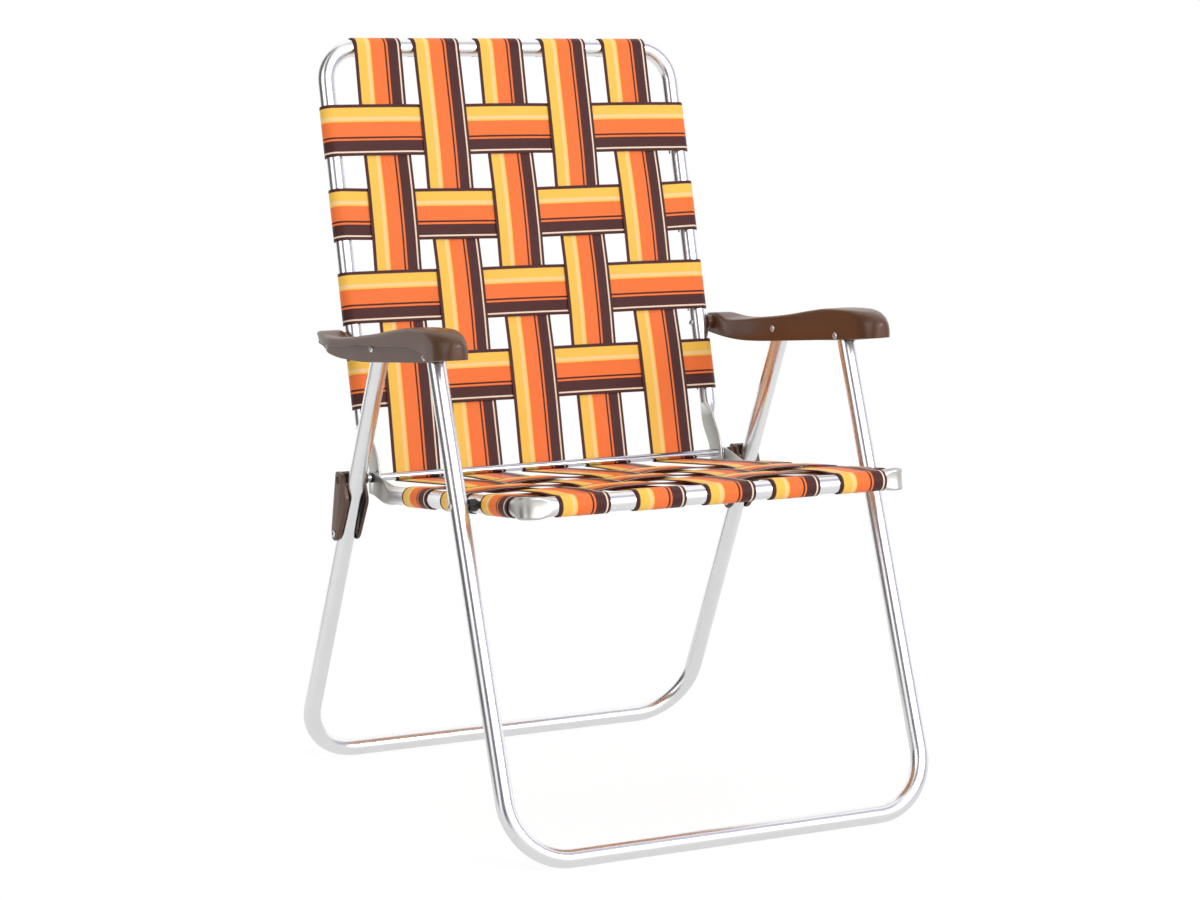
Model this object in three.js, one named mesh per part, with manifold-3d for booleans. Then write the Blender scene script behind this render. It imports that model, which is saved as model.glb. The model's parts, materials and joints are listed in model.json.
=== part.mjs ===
// Folding webbed lawn chair, open and standing on its two floor bars.
// Millimetres, +Z up, X across the chair, the sitter faces -Y.
import * as THREE from 'three';
import { mergeVertices } from 'three/addons/utils/BufferGeometryUtils.js';
import Module from 'manifold-3d';

const wasm = await Module();
wasm.setup();

const deg = THREE.MathUtils.degToRad;

// Stock: frame tube, hinge rod and rivets
const TUBE_R = 9.525;
const TUBE_WALL = 1.2;
const TUBE_SIDES = 12;
const ROD_R = 4.2;
const RIVET_R = 2.4;
const RIVET_HEAD_R = 4.4;
const RIVET_HEAD_T = 2;
const PIN_SIDES = 10;

// Clearances
const RUN_GAP = 0.3;
const HOLE_GAP = 0.35;
const TAB_SLIT = 0.15;

// Side view of the folding linkage
const LEG_SPREAD = 513;
const FRONT_LEAN = deg(20.3);
const REAR_LEAN = deg(23.56);
const BACK_RECLINE = deg(14.84);
const SEAT_TILT = deg(5.9);
const SEAT_PIVOT_UP = 360.2;
const CRANK = 154;
const AXLE_BEHIND = 259.7;
const AXLE_OVER_RAIL = 17.4;
const LINK_PIVOT_UP = 293;
const LEG_STUB = 5;

// Frames
const SEAT_HALF = 217;
const SPACER_LENGTH = 9.4;
const SPACER_R = 6.5;
const BACK_UP = 475.5;
const SEAT_FRONT = 94.2;
const BACK_BEND = 39;
const SEAT_BEND = 5;
const LEG_BEND = 64;
const BEND_STEPS = 6;
const CRIMP_HALF_T = 4.5;
const CRIMP_RUN = 13;
const TAB_MARGIN = 7;
const TAB_END = 9;
const BACK_FLAT = 44;
const SEAT_FLAT = 50;
const FLATTEN_RUN = 16;
const FLATTEN_STEPS = 4;
const KINK_RUN = 16;
const KINK_STEPS = 3;

// Hinge pieces
const WASHER_T = 1.9;
const WASHER_R = 7.5;
const RING_R = 5.4;
const RING_T = 2;
const CAP_R = 5.4;
const CAP_T = 3;
const PLATE_T = 5.3;
const PLATE_LOW_R = 9.5;
const PLATE_HIGH_R = 8;
const PLATE_SHOULDER_OUT = 15;
const PLATE_SHOULDER_UP = 48;

// Armrests: lateral sizes from the leg axis, heights from the line of rivets
const ARM_LEG_GAP = 0.5;
const ARM_SKIRT = 2.5;
const ARM_CAP_OVERHANG = 11;
const ARM_EDGE = 4;
const ARM_NOSE = 64;
const ARM_NOSE_ROUND = 24;
const ARM_NOSE_DROP = 30;
const ARM_NOSE_END = 0.15;
const ARM_TAIL = 10;
const ARM_TAIL_ROUND = 60;
const ARM_TAIL_IN = 10;
const ARM_DIP_AHEAD = 33.5;
const ARM_ROOF_GAP = 0.7;
const ARM_BLOCK = 14;
const ARM_BLOCK_LOW = 8;
const ARM_STEPS = 18;
const ARM_TOP_TAIL = 11;
const ARM_TOP_BACK = 10.8;
const ARM_TOP_DIP = 5.5;
const ARM_TOP_REAR_LEG = 15;
const ARM_TOP_RISE = 23;
const ARM_TOP_FRONT_LEG = 29;
const ARM_TOP_NOSE = 27;
const ARM_LOW_TAIL = -11.5;
const ARM_LOW_DIP = -16;
const ARM_LOW_REAR_LEG = -14;
const ARM_LOW_FRONT_LEG = -5.2;
const ARM_LOW_NOSE = 2;
const ARM_OUTER_TAIL = -3;
const ARM_OUTER_BACK = -5.8;
const ARM_OUTER_DIP = -13.5;
const ARM_CAP_TAIL = 5.5;
const ARM_CAP_DIP = -1.5;
const ARM_CAP_REAR_LEG = 5;
const ARM_CAP_RISE = 8;
const ARM_CAP_FRONT_LEG = 8;
const ARM_CAP_DROP = 21;

// Webbing
const WEB_WIDTH = 57.15;
const WEB_T = 1.1;
const WEB_TAIL = 4;
const WEB_WRAP_STEPS = 6;
const WEB_CROSS_MARGIN = 2;
const LONG_WEBS = 5;
const EDGE_AT_TOP = 61;
const EDGE_AT_HINGE = 57;
const EDGE_AT_FRONT = 54;
const SHIFT_AT_TOP = -2.8;
const SHIFT_AT_HINGE = -6.5;
const SHIFT_AT_FRONT = 6.8;
const HINGE_WRAP_STEPS = 4;
const HINGE_SPLIT = 0.6;
const BACK_ROWS = 4;
const BACK_ROW_PITCH = 92.2;
const BACK_LOWEST_ROW = 104.5;
const SEAT_ROWS = 3;
const SEAT_ROW_PITCH = 91;
const SEAT_FRONT_ROW = -38.2;

// Pivots in the side view, as (y, z)
const leaning = (angle) => new THREE.Vector2(Math.sin(angle), Math.cos(angle));
const step = (from, direction, distance) => from.clone().addScaledVector(direction, distance);
const FRONT_UP = leaning(FRONT_LEAN);
const REAR_UP = leaning(-REAR_LEAN);
const BACK_DIR = leaning(BACK_RECLINE);
const SEAT_UP = leaning(SEAT_TILT);
const SEAT_DIR = new THREE.Vector2(SEAT_UP.y, -SEAT_UP.x);
const floorAxis = TUBE_R * Math.cos(Math.PI / TUBE_SIDES);
const frontFoot = new THREE.Vector2(0, floorAxis);
const rearFoot = new THREE.Vector2(LEG_SPREAD, floorAxis);
const seatPivot = step(frontFoot, FRONT_UP, SEAT_PIVOT_UP);
const axle = step(step(seatPivot, SEAT_DIR, AXLE_BEHIND), SEAT_UP, AXLE_OVER_RAIL);
const frontArmPivot = step(seatPivot, FRONT_UP, CRANK);
const backArmPivot = step(axle, FRONT_UP, CRANK);
const linkPivot = step(rearFoot, REAR_UP, LINK_PIVOT_UP);

// The rear leg's arm rivet lies where its axis meets the line of the other two arm rivets
const armLine = backArmPivot.clone().sub(frontArmPivot).normalize();
const rearLegLength = frontArmPivot.clone().sub(rearFoot).cross(armLine) / REAR_UP.cross(armLine);
const rearArmPivot = step(rearFoot, REAR_UP, rearLegLength);
const frontLegLength = SEAT_PIVOT_UP + CRANK;

// The back's axis runs through its arm rivet, behind the axle
const BACK_REAR = new THREE.Vector2(BACK_DIR.y, -BACK_DIR.x);
const setback = backArmPivot.clone().sub(axle).dot(BACK_REAR);
const backFoot = step(axle, BACK_REAR, setback);

// Lateral layers
const legHalf = SEAT_HALF + 2 * TUBE_R + SPACER_LENGTH + 2 * RUN_GAP;
const tabHalfT = TUBE_WALL + TAB_SLIT;
const tabShift = tabHalfT + WASHER_T / 2 + RUN_GAP;
const tabHalfWidth = tabHalfT + (Math.PI / 2) * (TUBE_R - tabHalfT);
const plateInside = legHalf - TUBE_R - RUN_GAP;
const plateOutside = legHalf + TUBE_R + RUN_GAP;

// Materials
const finish = (color, roughness, metalness) => () =>
  new THREE.MeshStandardMaterial({ color, roughness, metalness });
const aluminium = finish(0xd6d8da, 0.25, 1);
const steel = finish(0xb9bcc0, 0.35, 1);
const brownPlastic = finish(0x5b4a3e, 0.5, 0);
const blackPlastic = finish(0x1b1a1c, 0.5, 0);
const webbing = finish(0xf0702c, 0.8, 0);

const chair = new THREE.Group();

function add(name, geometry, material, side = 1) {
  const mesh = new THREE.Mesh(geometry, material());
  mesh.name = name;
  mesh.scale.x = side;
  chair.add(mesh);
}

function addPair(name, geometry, material) {
  add(`${name}_left`, geometry, material, -1);
  add(`${name}_right`, geometry, material);
}

// Only positions, shared vertices joined, faces turned outwards
function tidy(geometry) {
  const bare = new THREE.BufferGeometry();
  bare.setAttribute('position', geometry.getAttribute('position'));
  bare.setIndex(geometry.getIndex());
  const merged = mergeVertices(bare, 1e-3);
  const point = (i) => new THREE.Vector3().fromBufferAttribute(merged.attributes.position, i);
  const faces = [];
  let volume = 0;
  for (let i = 0; i < merged.index.count; i += 3) {
    const [a, b, c] = [0, 1, 2].map((k) => merged.index.getX(i + k));
    if (a !== b && b !== c && c !== a) {
      faces.push(a, b, c);
      volume += point(a).dot(point(b).cross(point(c)));
    }
  }
  merged.setIndex(volume < 0 ? faces.reverse() : faces);
  return merged;
}

function toSolid(geometry) {
  const clean = tidy(geometry);
  const vertProperties = new Float32Array(clean.attributes.position.array);
  const triVerts = new Uint32Array(clean.index.array);
  return new wasm.Manifold(new wasm.Mesh({ numProp: 3, vertProperties, triVerts }));
}

function cut(geometry, tools) {
  const body = tools.reduce((solid, tool) => solid.subtract(toSolid(tool)), toSolid(geometry));
  const mesh = body.getMesh();
  const result = new THREE.BufferGeometry();
  result.setAttribute('position', new THREE.BufferAttribute(mesh.vertProperties, mesh.numProp));
  result.setIndex(new THREE.BufferAttribute(mesh.triVerts, 1));
  return tidy(result);
}

// Round tool across the chair, from x0 to x1, centred on a side-view point
function drill(radius, x0, x1, pivot) {
  const tool = new THREE.CylinderGeometry(radius, radius, x1 - x0, PIN_SIDES);
  tool.rotateZ(-Math.PI / 2);
  tool.translate((x0 + x1) / 2, pivot.x, pivot.y);
  return tool;
}

// Turned piece on an axis across the chair; the profile lists (radius, x)
function turned(profile, pivot) {
  const outline = profile.map(([radius, x]) => new THREE.Vector2(radius, x));
  const body = new THREE.LatheGeometry(outline, PIN_SIDES);
  body.rotateZ(-Math.PI / 2);
  body.translate(0, pivot.x, pivot.y);
  return tidy(body);
}

const sleeve = (inner, outer, x0, x1, pivot) =>
  turned([[inner, x0], [outer, x0], [outer, x1], [inner, x1], [inner, x0]], pivot);

// Half-round head outline from the shank's radius at `seat` to the axis, growing along `way`
const headOutline = (radius, height, seat, way) => [
  [radius, seat],
  [radius * 0.8, seat + way * height * 0.7],
  [0, seat + way * height],
];

// Rivet with a head beyond each of its two seats
const rivet = (x0, x1, pivot) => turned([
  ...headOutline(RIVET_HEAD_R, RIVET_HEAD_T, x0, -1).reverse(),
  [RIVET_R, x0],
  [RIVET_R, x1],
  ...headOutline(RIVET_HEAD_R, RIVET_HEAD_T, x1, 1),
], pivot);

// Flat piece across the chair, cut to a side-view outline
function plate(outline, x0, x1) {
  const body = new THREE.ExtrudeGeometry(outline, { depth: x1 - x0, bevelEnabled: false, curveSegments: 5 });
  const across = new THREE.Vector3(1, 0, 0);
  const along = new THREE.Vector3(0, 1, 0);
  const up = new THREE.Vector3(0, 0, 1);
  body.applyMatrix4(new THREE.Matrix4().makeBasis(along, up, across).setPosition(x0, 0, 0));
  return tidy(body);
}

const pointIn = (x, origin, u, uDir, h, hDir) => {
  const side = step(step(origin, uDir, u), hDir, h);
  return new THREE.Vector3(x, side.x, side.y);
};

// Skin of quads between successive rings; each ring turns counter-clockwise about the path
function skin(rings, base, inward) {
  const count = rings[0].length;
  const faces = [];
  for (let i = 0; i + 1 < rings.length; i += 1) {
    for (let k = 0; k < count; k += 1) {
      const a = base + i * count + k;
      const b = base + i * count + (k + 1) % count;
      const quad = [a, b, b + count, a, b + count, a + count];
      faces.push(...(inward ? quad.reverse() : quad));
    }
  }
  return faces;
}

function fromRings(rings, faces) {
  const body = new THREE.BufferGeometry();
  body.setFromPoints(rings.flat());
  body.setIndex(faces);
  return tidy(body);
}

// Pipe with open ends
function pipe(outer, inner) {
  const count = outer[0].length;
  const innerBase = outer.length * count;
  const faces = [...skin(outer, 0, false), ...skin(inner, innerBase, true)];
  for (const [i, flip] of [[0, false], [outer.length - 1, true]]) {
    for (let k = 0; k < count; k += 1) {
      const a = i * count + k;
      const b = i * count + (k + 1) % count;
      const rim = [a, innerBase + a, innerBase + b, a, innerBase + b, b];
      faces.push(...(flip ? rim.reverse() : rim));
    }
  }
  return fromRings([...outer, ...inner], faces);
}

// Solid between successive rings, closed at both ends; flatten maps a point to its ring's plane
function loft(rings, flatten) {
  const count = rings[0].length;
  const last = (rings.length - 1) * count;
  const faces = skin(rings, 0, false);
  for (const [i, base, flip] of [[0, 0, true], [rings.length - 1, last, false]]) {
    for (const [a, b, c] of THREE.ShapeUtils.triangulateShape(rings[i].map(flatten), [])) {
      faces.push(...(flip ? [base + c, base + b, base + a] : [base + a, base + b, base + c]));
    }
  }
  return fromRings(rings, faces);
}

// U-shaped tube in a plane whose side-view direction `out` points from the open ends to the bar.
// Stops lie at x across, m from the bar towards the open ends, h out of the plane.
function uStops(half, bend, bar, limb) {
  const right = [...bar];
  for (let i = 0; i <= BEND_STEPS; i += 1) {
    const turn = (i / BEND_STEPS) * (Math.PI / 2);
    const x = half - bend + bend * Math.sin(turn);
    const m = bend - bend * Math.cos(turn);
    right.push({ x, m, h: 0, flat: 0, proud: 0 });
  }
  for (const stop of limb) right.push({ ...stop, x: half + stop.dx, proud: 0 });
  const left = right.map((stop) => ({ ...stop, x: -stop.x })).reverse();
  return [...left, ...right];
}

// Corners squeezed thin and tall, the outer faces staying in line with the straight tube
function crimpCorners(stops, half, bend) {
  const reach = (stop) => Math.max(half - bend - Math.abs(stop.x), stop.m - bend, 0);
  const squeeze = (distance) => 1 - THREE.MathUtils.smoothstep(distance, 0, CRIMP_RUN);
  const full = (TUBE_R - CRIMP_HALF_T) / (TUBE_R - tabHalfT);
  return stops.map((stop) => {
    const share = squeeze(reach(stop));
    if (share === 0) return stop;
    return { ...stop, flat: full * share, proud: (TUBE_R - CRIMP_HALF_T) * share };
  });
}

// Further stops where a corner's squeeze fades out
function crimpStops(half, bend) {
  const bar = [];
  const limb = [];
  for (let i = 1; i <= FLATTEN_STEPS; i += 1) {
    const distance = (CRIMP_RUN * i) / FLATTEN_STEPS;
    bar.unshift({ x: half - bend - distance, m: 0, h: 0, flat: 0, proud: 0 });
    limb.push({ m: bend + distance, dx: 0, h: 0, flat: 0 });
  }
  return { bar, limb };
}

function uTube(barAxis, out, stops, phase) {
  const away = out.clone().negate();
  const normal = new THREE.Vector2(out.y, -out.x);
  const normal3 = new THREE.Vector3(0, normal.x, normal.y);
  const centres = stops.map((stop) => pointIn(stop.x, barAxis, stop.m, away, stop.h, normal));
  const ringsAt = (inset) => stops.map((stop, i) => {
    const before = centres[Math.max(i - 1, 0)];
    const after = centres[Math.min(i + 1, stops.length - 1)];
    const tangent = after.clone().sub(before).normalize();
    const wide = normal3.clone().addScaledVector(tangent, -normal3.dot(tangent)).normalize();
    const thin = tangent.clone().cross(wide);
    const thickness = TUBE_R + stop.flat * (tabHalfT - TUBE_R);
    const stretch = (Math.PI / 2) * (TUBE_R - thickness);
    const ring = [];
    for (let k = 0; k < TUBE_SIDES; k += 1) {
      const angle = phase + (2 * Math.PI * k) / TUBE_SIDES;
      const along = Math.sign(Math.cos(angle)) * stretch + (thickness - inset) * Math.cos(angle);
      const across = stop.proud + (thickness - inset) * Math.sin(angle);
      ring.push(centres[i].clone().addScaledVector(wide, along).addScaledVector(thin, across));
    }
    return ring;
  });
  return pipe(ringsAt(0), ringsAt(TUBE_WALL));
}

// Limb whose end is squeezed flat while it shifts by dx, and then kinked by h to reach the axle
function tabbedLimb(reach, flatLength, dx, h) {
  const limb = [];
  for (let i = 0; i <= FLATTEN_STEPS; i += 1) {
    const share = THREE.MathUtils.smoothstep(i, 0, FLATTEN_STEPS);
    const m = reach - flatLength - FLATTEN_RUN * (1 - i / FLATTEN_STEPS);
    limb.push({ m, dx: dx * share, h: 0, flat: share });
  }
  for (let i = 1; i <= KINK_STEPS; i += 1) {
    const share = THREE.MathUtils.smoothstep(i, 0, KINK_STEPS);
    limb.push({ m: reach - flatLength + (KINK_RUN * i) / KINK_STEPS, dx, h: h * share, flat: 1 });
  }
  limb.push({ m: reach + TAB_END, dx, h, flat: 1 });
  return limb;
}

// Hinged tube ends: the axle hole lies one margin inside the tab's edge
const tubePhase = Math.PI / TUBE_SIDES;
const hingeTool = drill(ROD_R + HOLE_GAP, -legHalf, legHalf, axle);
const rivetTool = (pivot, x0, x1) => [-1, 1].map((side) =>
  drill(RIVET_R + HOLE_GAP, Math.min(side * x0, side * x1), Math.max(side * x0, side * x1), pivot));
const acrossRail = [SEAT_HALF - 2 * TUBE_R, SEAT_HALF + 2 * TUBE_R];
const acrossLeg = [legHalf - 2 * TUBE_R, legHalf + 2 * TUBE_R];

// Back frame: upside-down U, its tabs inside the seat's, flared forward to the axle
const backTabShift = tabHalfWidth - setback - TAB_MARGIN;
const backTop = step(backFoot, BACK_DIR, BACK_UP);
const backLimb = tabbedLimb(BACK_UP, BACK_FLAT, -tabShift, backTabShift);
add('back_frame', cut(
  uTube(backTop, BACK_DIR, uStops(SEAT_HALF, BACK_BEND, [], backLimb), tubePhase),
  [hingeTool, ...rivetTool(backArmPivot, ...acrossRail)],
), aluminium);

// Seat frame: U with crimped front corners, its tabs outside the back's and kinked up to the axle
const seatTabShift = AXLE_OVER_RAIL + TAB_MARGIN - tabHalfWidth;
const seatFront = step(seatPivot, SEAT_DIR, -SEAT_FRONT);
const seatReach = SEAT_FRONT + AXLE_BEHIND;
const seatLimb = tabbedLimb(seatReach, SEAT_FLAT, tabShift, seatTabShift);
const fade = crimpStops(SEAT_HALF, SEAT_BEND);
const seatStops = uStops(SEAT_HALF, SEAT_BEND, fade.bar, [...fade.limb, ...seatLimb]);
add('seat_frame', cut(
  uTube(
    seatFront, SEAT_DIR.clone().negate(), crimpCorners(seatStops, SEAT_HALF, SEAT_BEND), tubePhase,
  ),
  [hingeTool, ...rivetTool(seatPivot, ...acrossRail)],
), aluminium);

// Leg frames: a flat of the tube's outline rests on the floor
function legFrame(foot, up, lean, length, pivots) {
  const limb = [{ m: length + LEG_STUB, dx: 0, h: 0, flat: 0 }];
  const stops = uStops(legHalf, LEG_BEND, [], limb);
  const tube = uTube(foot, up.clone().negate(), stops, tubePhase + lean);
  return cut(tube, pivots.flatMap((pivot) => rivetTool(pivot, ...acrossLeg)));
}
add('front_leg_frame', legFrame(
  frontFoot, FRONT_UP, FRONT_LEAN, frontLegLength, [seatPivot, frontArmPivot],
), aluminium);
add('rear_leg_frame', legFrame(
  rearFoot, REAR_UP, -REAR_LEAN, rearLegLength, [rearArmPivot],
), aluminium);

// Hinge rod in the crease of seat and back, with washers between the tabs, rings outside them and
// end caps; the open chair's rear legs rest on it
const rodHole = ROD_R + HOLE_GAP;
const plateFarSide = plateOutside + PLATE_T;
const capSeat = plateFarSide + RUN_GAP;
const rodEnd = capSeat + CAP_T / 2;
add('hinge_rod', turned([[0, -rodEnd], [ROD_R, -rodEnd], [ROD_R, rodEnd], [0, rodEnd]], axle), steel);
const washerInside = SEAT_HALF - WASHER_T / 2;
addPair('hinge_washer', sleeve(rodHole, WASHER_R, washerInside, washerInside + WASHER_T, axle), steel);
const ringInside = SEAT_HALF + tabShift + tabHalfT + RUN_GAP;
addPair('rod_ring', sleeve(rodHole, RING_R, ringInside, ringInside + RING_T, axle), blackPlastic);
addPair('rod_cap', turned([
  [rodHole, capSeat],
  [CAP_R, capSeat],
  [CAP_R, capSeat + CAP_T / 2],
  [0, capSeat + CAP_T],
  [0, rodEnd + RUN_GAP],
  [rodHole, rodEnd + RUN_GAP],
  [rodHole, capSeat],
], axle), blackPlastic);

// Link plates: a kite from the leg rivet up to the axle, with a shoulder ahead of the leg
const legAhead = new THREE.Vector2(-REAR_UP.y, REAR_UP.x);
const shoulder = step(step(linkPivot, REAR_UP, PLATE_SHOULDER_UP), legAhead, PLATE_SHOULDER_OUT);
const ringPoint = (centre, radius, angle) =>
  new THREE.Vector2(centre.x + radius * Math.cos(angle), centre.y + radius * Math.sin(angle));
// Angle at which the tangent from a point touches a circle, on the chosen side
function touchAngle(point, centre, radius, side) {
  const reach = point.clone().sub(centre);
  return Math.atan2(reach.y, reach.x) + side * Math.acos(radius / reach.length());
}
function plateOutline() {
  const span = axle.clone().sub(linkPivot);
  const rearEdge = Math.atan2(span.y, span.x) - Math.acos((PLATE_LOW_R - PLATE_HIGH_R) / span.length());
  const lowTouch = touchAngle(shoulder, linkPivot, PLATE_LOW_R, 1);
  const highTouch = touchAngle(shoulder, axle, PLATE_HIGH_R, -1);
  const start = ringPoint(linkPivot, PLATE_LOW_R, lowTouch);
  const outline = new THREE.Shape();
  outline.moveTo(start.x, start.y);
  outline.absarc(linkPivot.x, linkPivot.y, PLATE_LOW_R, lowTouch, rearEdge, false);
  outline.absarc(axle.x, axle.y, PLATE_HIGH_R, rearEdge, highTouch, false);
  outline.lineTo(shoulder.x, shoulder.y);
  outline.closePath();
  return outline;
}
const plateHoles = (x0, x1) => [
  drill(rodHole, x0 - PLATE_T, x1 + PLATE_T, axle),
  drill(RIVET_R + HOLE_GAP, x0 - PLATE_T, x1 + PLATE_T, linkPivot),
];
const linkPlate = (x0, x1) => cut(plate(plateOutline(), x0, x1), plateHoles(x0, x1));
addPair('link_plate_inner', linkPlate(plateInside - PLATE_T, plateInside), brownPlastic);
addPair('link_plate_outer', linkPlate(plateOutside, plateFarSide), brownPlastic);

// The link's rivet stops at the plates' leg sides, so its shank is in two short pieces
const linkRivet = (x0, x1, way) => turned([
  [0, x0],
  [RIVET_R, x0],
  [RIVET_R, x1],
  ...headOutline(RIVET_HEAD_R, RIVET_HEAD_T, x1, way),
], linkPivot);
addPair('link_rivet_inner', linkRivet(plateInside, plateInside - PLATE_T - RUN_GAP, -1), steel);
addPair('link_rivet_outer', linkRivet(plateOutside, plateFarSide + RUN_GAP, 1), steel);

// Seat to front leg: spacer between rail and leg, rivet through all three
const spacerStart = SEAT_HALF + TUBE_R + RUN_GAP;
const spacerBore = RIVET_R + HOLE_GAP;
addPair('leg_spacer', sleeve(
  spacerBore, SPACER_R, spacerStart, spacerStart + SPACER_LENGTH, seatPivot,
), blackPlastic);
const railInside = SEAT_HALF - TUBE_R - RUN_GAP;
const legOutside = legHalf + TUBE_R + RUN_GAP;
addPair('seat_leg_rivet', rivet(railInside, legOutside, seatPivot), steel);

// Smooth curve through (y, height) knots, with slopes from each knot's neighbours
function curveThrough(knots) {
  const sorted = [...knots].sort((a, b) => a[0] - b[0]);
  const slope = (i) => {
    const before = sorted[Math.max(i - 1, 0)];
    const after = sorted[Math.min(i + 1, sorted.length - 1)];
    return (after[1] - before[1]) / (after[0] - before[0]);
  };
  return (y) => {
    const found = sorted.findIndex((knot) => knot[0] >= y);
    const j = THREE.MathUtils.clamp(found < 0 ? sorted.length - 1 : found, 1, sorted.length - 1);
    const [y0, h0] = sorted[j - 1];
    const [y1, h1] = sorted[j];
    const run = y1 - y0;
    const t = THREE.MathUtils.clamp((y - y0) / run, 0, 1);
    const rise = (h1 - h0) * t * t * (3 - 2 * t);
    return h0 + rise + run * t * (1 - t) * ((1 - t) * slope(j - 1) - t * slope(j));
  };
}

// Armrest: a cap that overhangs the outer skirt, with a channel below for the two leg tops, which runs on
// under the back's rivet so that the folded rear leg lies in it
const armTail = backArmPivot.x + ARM_TAIL;
const armNose = frontArmPivot.x - ARM_NOSE;
const armDip = backArmPivot.x - ARM_DIP_AHEAD;
const armRise = (rearArmPivot.x + frontArmPivot.x) / 2;
const armTop = curveThrough([
  [armTail, ARM_TOP_TAIL],
  [backArmPivot.x, ARM_TOP_BACK],
  [armDip, ARM_TOP_DIP],
  [rearArmPivot.x, ARM_TOP_REAR_LEG],
  [armRise, ARM_TOP_RISE],
  [frontArmPivot.x, ARM_TOP_FRONT_LEG],
  [armNose, ARM_TOP_NOSE],
]);
const armLow = curveThrough([
  [armTail, ARM_LOW_TAIL],
  [armDip, ARM_LOW_DIP],
  [rearArmPivot.x, ARM_LOW_REAR_LEG],
  [frontArmPivot.x, ARM_LOW_FRONT_LEG],
  [armNose, ARM_LOW_NOSE],
]);
const armLowOuter = curveThrough([
  [armTail, ARM_OUTER_TAIL],
  [backArmPivot.x, ARM_OUTER_BACK],
  [armDip, ARM_OUTER_DIP],
  [rearArmPivot.x, ARM_LOW_REAR_LEG],
  [frontArmPivot.x, ARM_LOW_FRONT_LEG],
  [armNose, ARM_LOW_NOSE],
]);
const armCapLow = curveThrough([
  [armTail, ARM_CAP_TAIL],
  [backArmPivot.x, ARM_CAP_TAIL],
  [armDip, ARM_CAP_DIP],
  [rearArmPivot.x, ARM_CAP_REAR_LEG],
  [armRise, ARM_CAP_RISE],
  [frontArmPivot.x, ARM_CAP_FRONT_LEG],
  [frontArmPivot.x - ARM_CAP_DROP, ARM_LOW_FRONT_LEG],
]);
const rivetLineAt = (y) => frontArmPivot.y + (y - frontArmPivot.x) * (armLine.y / armLine.x);
const channelHalf = TUBE_R + ARM_LEG_GAP;
const skirtInside = legHalf - channelHalf - ARM_SKIRT;
const skirtOutside = legHalf + channelHalf + ARM_SKIRT;
const capOutside = skirtOutside + ARM_CAP_OVERHANG;

// Share of the full size at y where the nose rounds off over a run, down to its small flat end
function noseShare(run, y) {
  const roundness = THREE.MathUtils.clamp((armNose + run - y) / run, 0, 1);
  return ARM_NOSE_END + (1 - ARM_NOSE_END) * Math.sqrt(1 - roundness ** 2);
}

function armSection(y) {
  const base = rivetLineAt(y);
  const low = base + armLow(y);
  const lowOuter = base + armLowOuter(y);
  const top = low + (armTop(y) - armLow(y)) * noseShare(ARM_NOSE_DROP, y);
  const capLow = Math.max(Math.min(base + armCapLow(y), top - 2 * RUN_GAP), lowOuter + RUN_GAP);
  const edge = Math.min(ARM_EDGE, (top - capLow) / 2);
  const turnIn = THREE.MathUtils.clamp((y - armTail) / ARM_TAIL_ROUND + 1, 0, 1);
  const outside = capOutside - ARM_TAIL_IN * (1 - Math.sqrt(1 - turnIn ** 2));
  const middle = (skirtInside + capOutside) / 2;
  const at = (x, z) => new THREE.Vector3(middle + (x - middle) * noseShare(ARM_NOSE_ROUND, y), y, z);
  return [
    at(skirtInside, low),
    at(skirtOutside, lowOuter),
    at(skirtOutside, capLow),
    at(outside, capLow),
    at(outside, top - edge),
    at(outside - edge, top),
    at(skirtInside + ARM_EDGE, top),
    at(skirtInside, top - edge),
  ];
}

const stubSweep = Math.hypot(LEG_STUB, TUBE_R) + ARM_ROOF_GAP;
function armChannel() {
  const legDrift = Math.abs(ARM_LOW_FRONT_LEG) * Math.tan(FRONT_LEAN);
  const front = frontArmPivot.x - stubSweep - ARM_LEG_GAP - legDrift;
  const level = rearArmPivot.x + stubSweep;
  const rear = backArmPivot.x - ARM_BLOCK;
  const open = armTail + ARM_SKIRT;
  const floor = Math.min(rivetLineAt(open), rivetLineAt(front)) + 2 * ARM_LOW_DIP;
  const outline = new THREE.Shape();
  outline.moveTo(front, floor);
  outline.lineTo(open, floor);
  outline.lineTo(open, rivetLineAt(open) - ARM_BLOCK_LOW);
  outline.lineTo(rear, rivetLineAt(rear) - ARM_BLOCK_LOW);
  outline.lineTo(rear, rivetLineAt(rear) - ARM_SKIRT);
  outline.lineTo(level, rivetLineAt(level) + stubSweep);
  outline.lineTo(front, rivetLineAt(front) + stubSweep);
  outline.closePath();
  return plate(outline, legHalf - channelHalf, legHalf + channelHalf);
}

function armrest() {
  const rings = [];
  for (let i = 0; i <= ARM_STEPS; i += 1) {
    const share = (1 - Math.cos((i / ARM_STEPS) * Math.PI)) / 2;
    rings.push(armSection(armNose + (armTail - armNose) * share));
  }
  const holes = [frontArmPivot, rearArmPivot, backArmPivot].map((pivot) =>
    drill(RIVET_R + HOLE_GAP, skirtInside - ARM_SKIRT, capOutside + ARM_SKIRT, pivot));
  return cut(loft(rings, (point) => new THREE.Vector2(point.x, point.z)), [armChannel(), ...holes]);
}
addPair('armrest', armrest(), brownPlastic);

// Rivets of the armrest, and the bush that fills the space between it and the back
const skirtSeats = [skirtInside - RUN_GAP, skirtOutside + RUN_GAP];
addPair('arm_front_rivet', rivet(...skirtSeats, frontArmPivot), steel);
addPair('arm_rear_rivet', rivet(...skirtSeats, rearArmPivot), steel);
addPair('arm_back_rivet', rivet(railInside, skirtSeats[1], backArmPivot), steel);
const bushEnds = [SEAT_HALF + TUBE_R + RUN_GAP, skirtInside - RUN_GAP];
addPair('arm_bush', sleeve(spacerBore, RIVET_HEAD_R, ...bushEnds, backArmPivot), brownPlastic);

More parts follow.
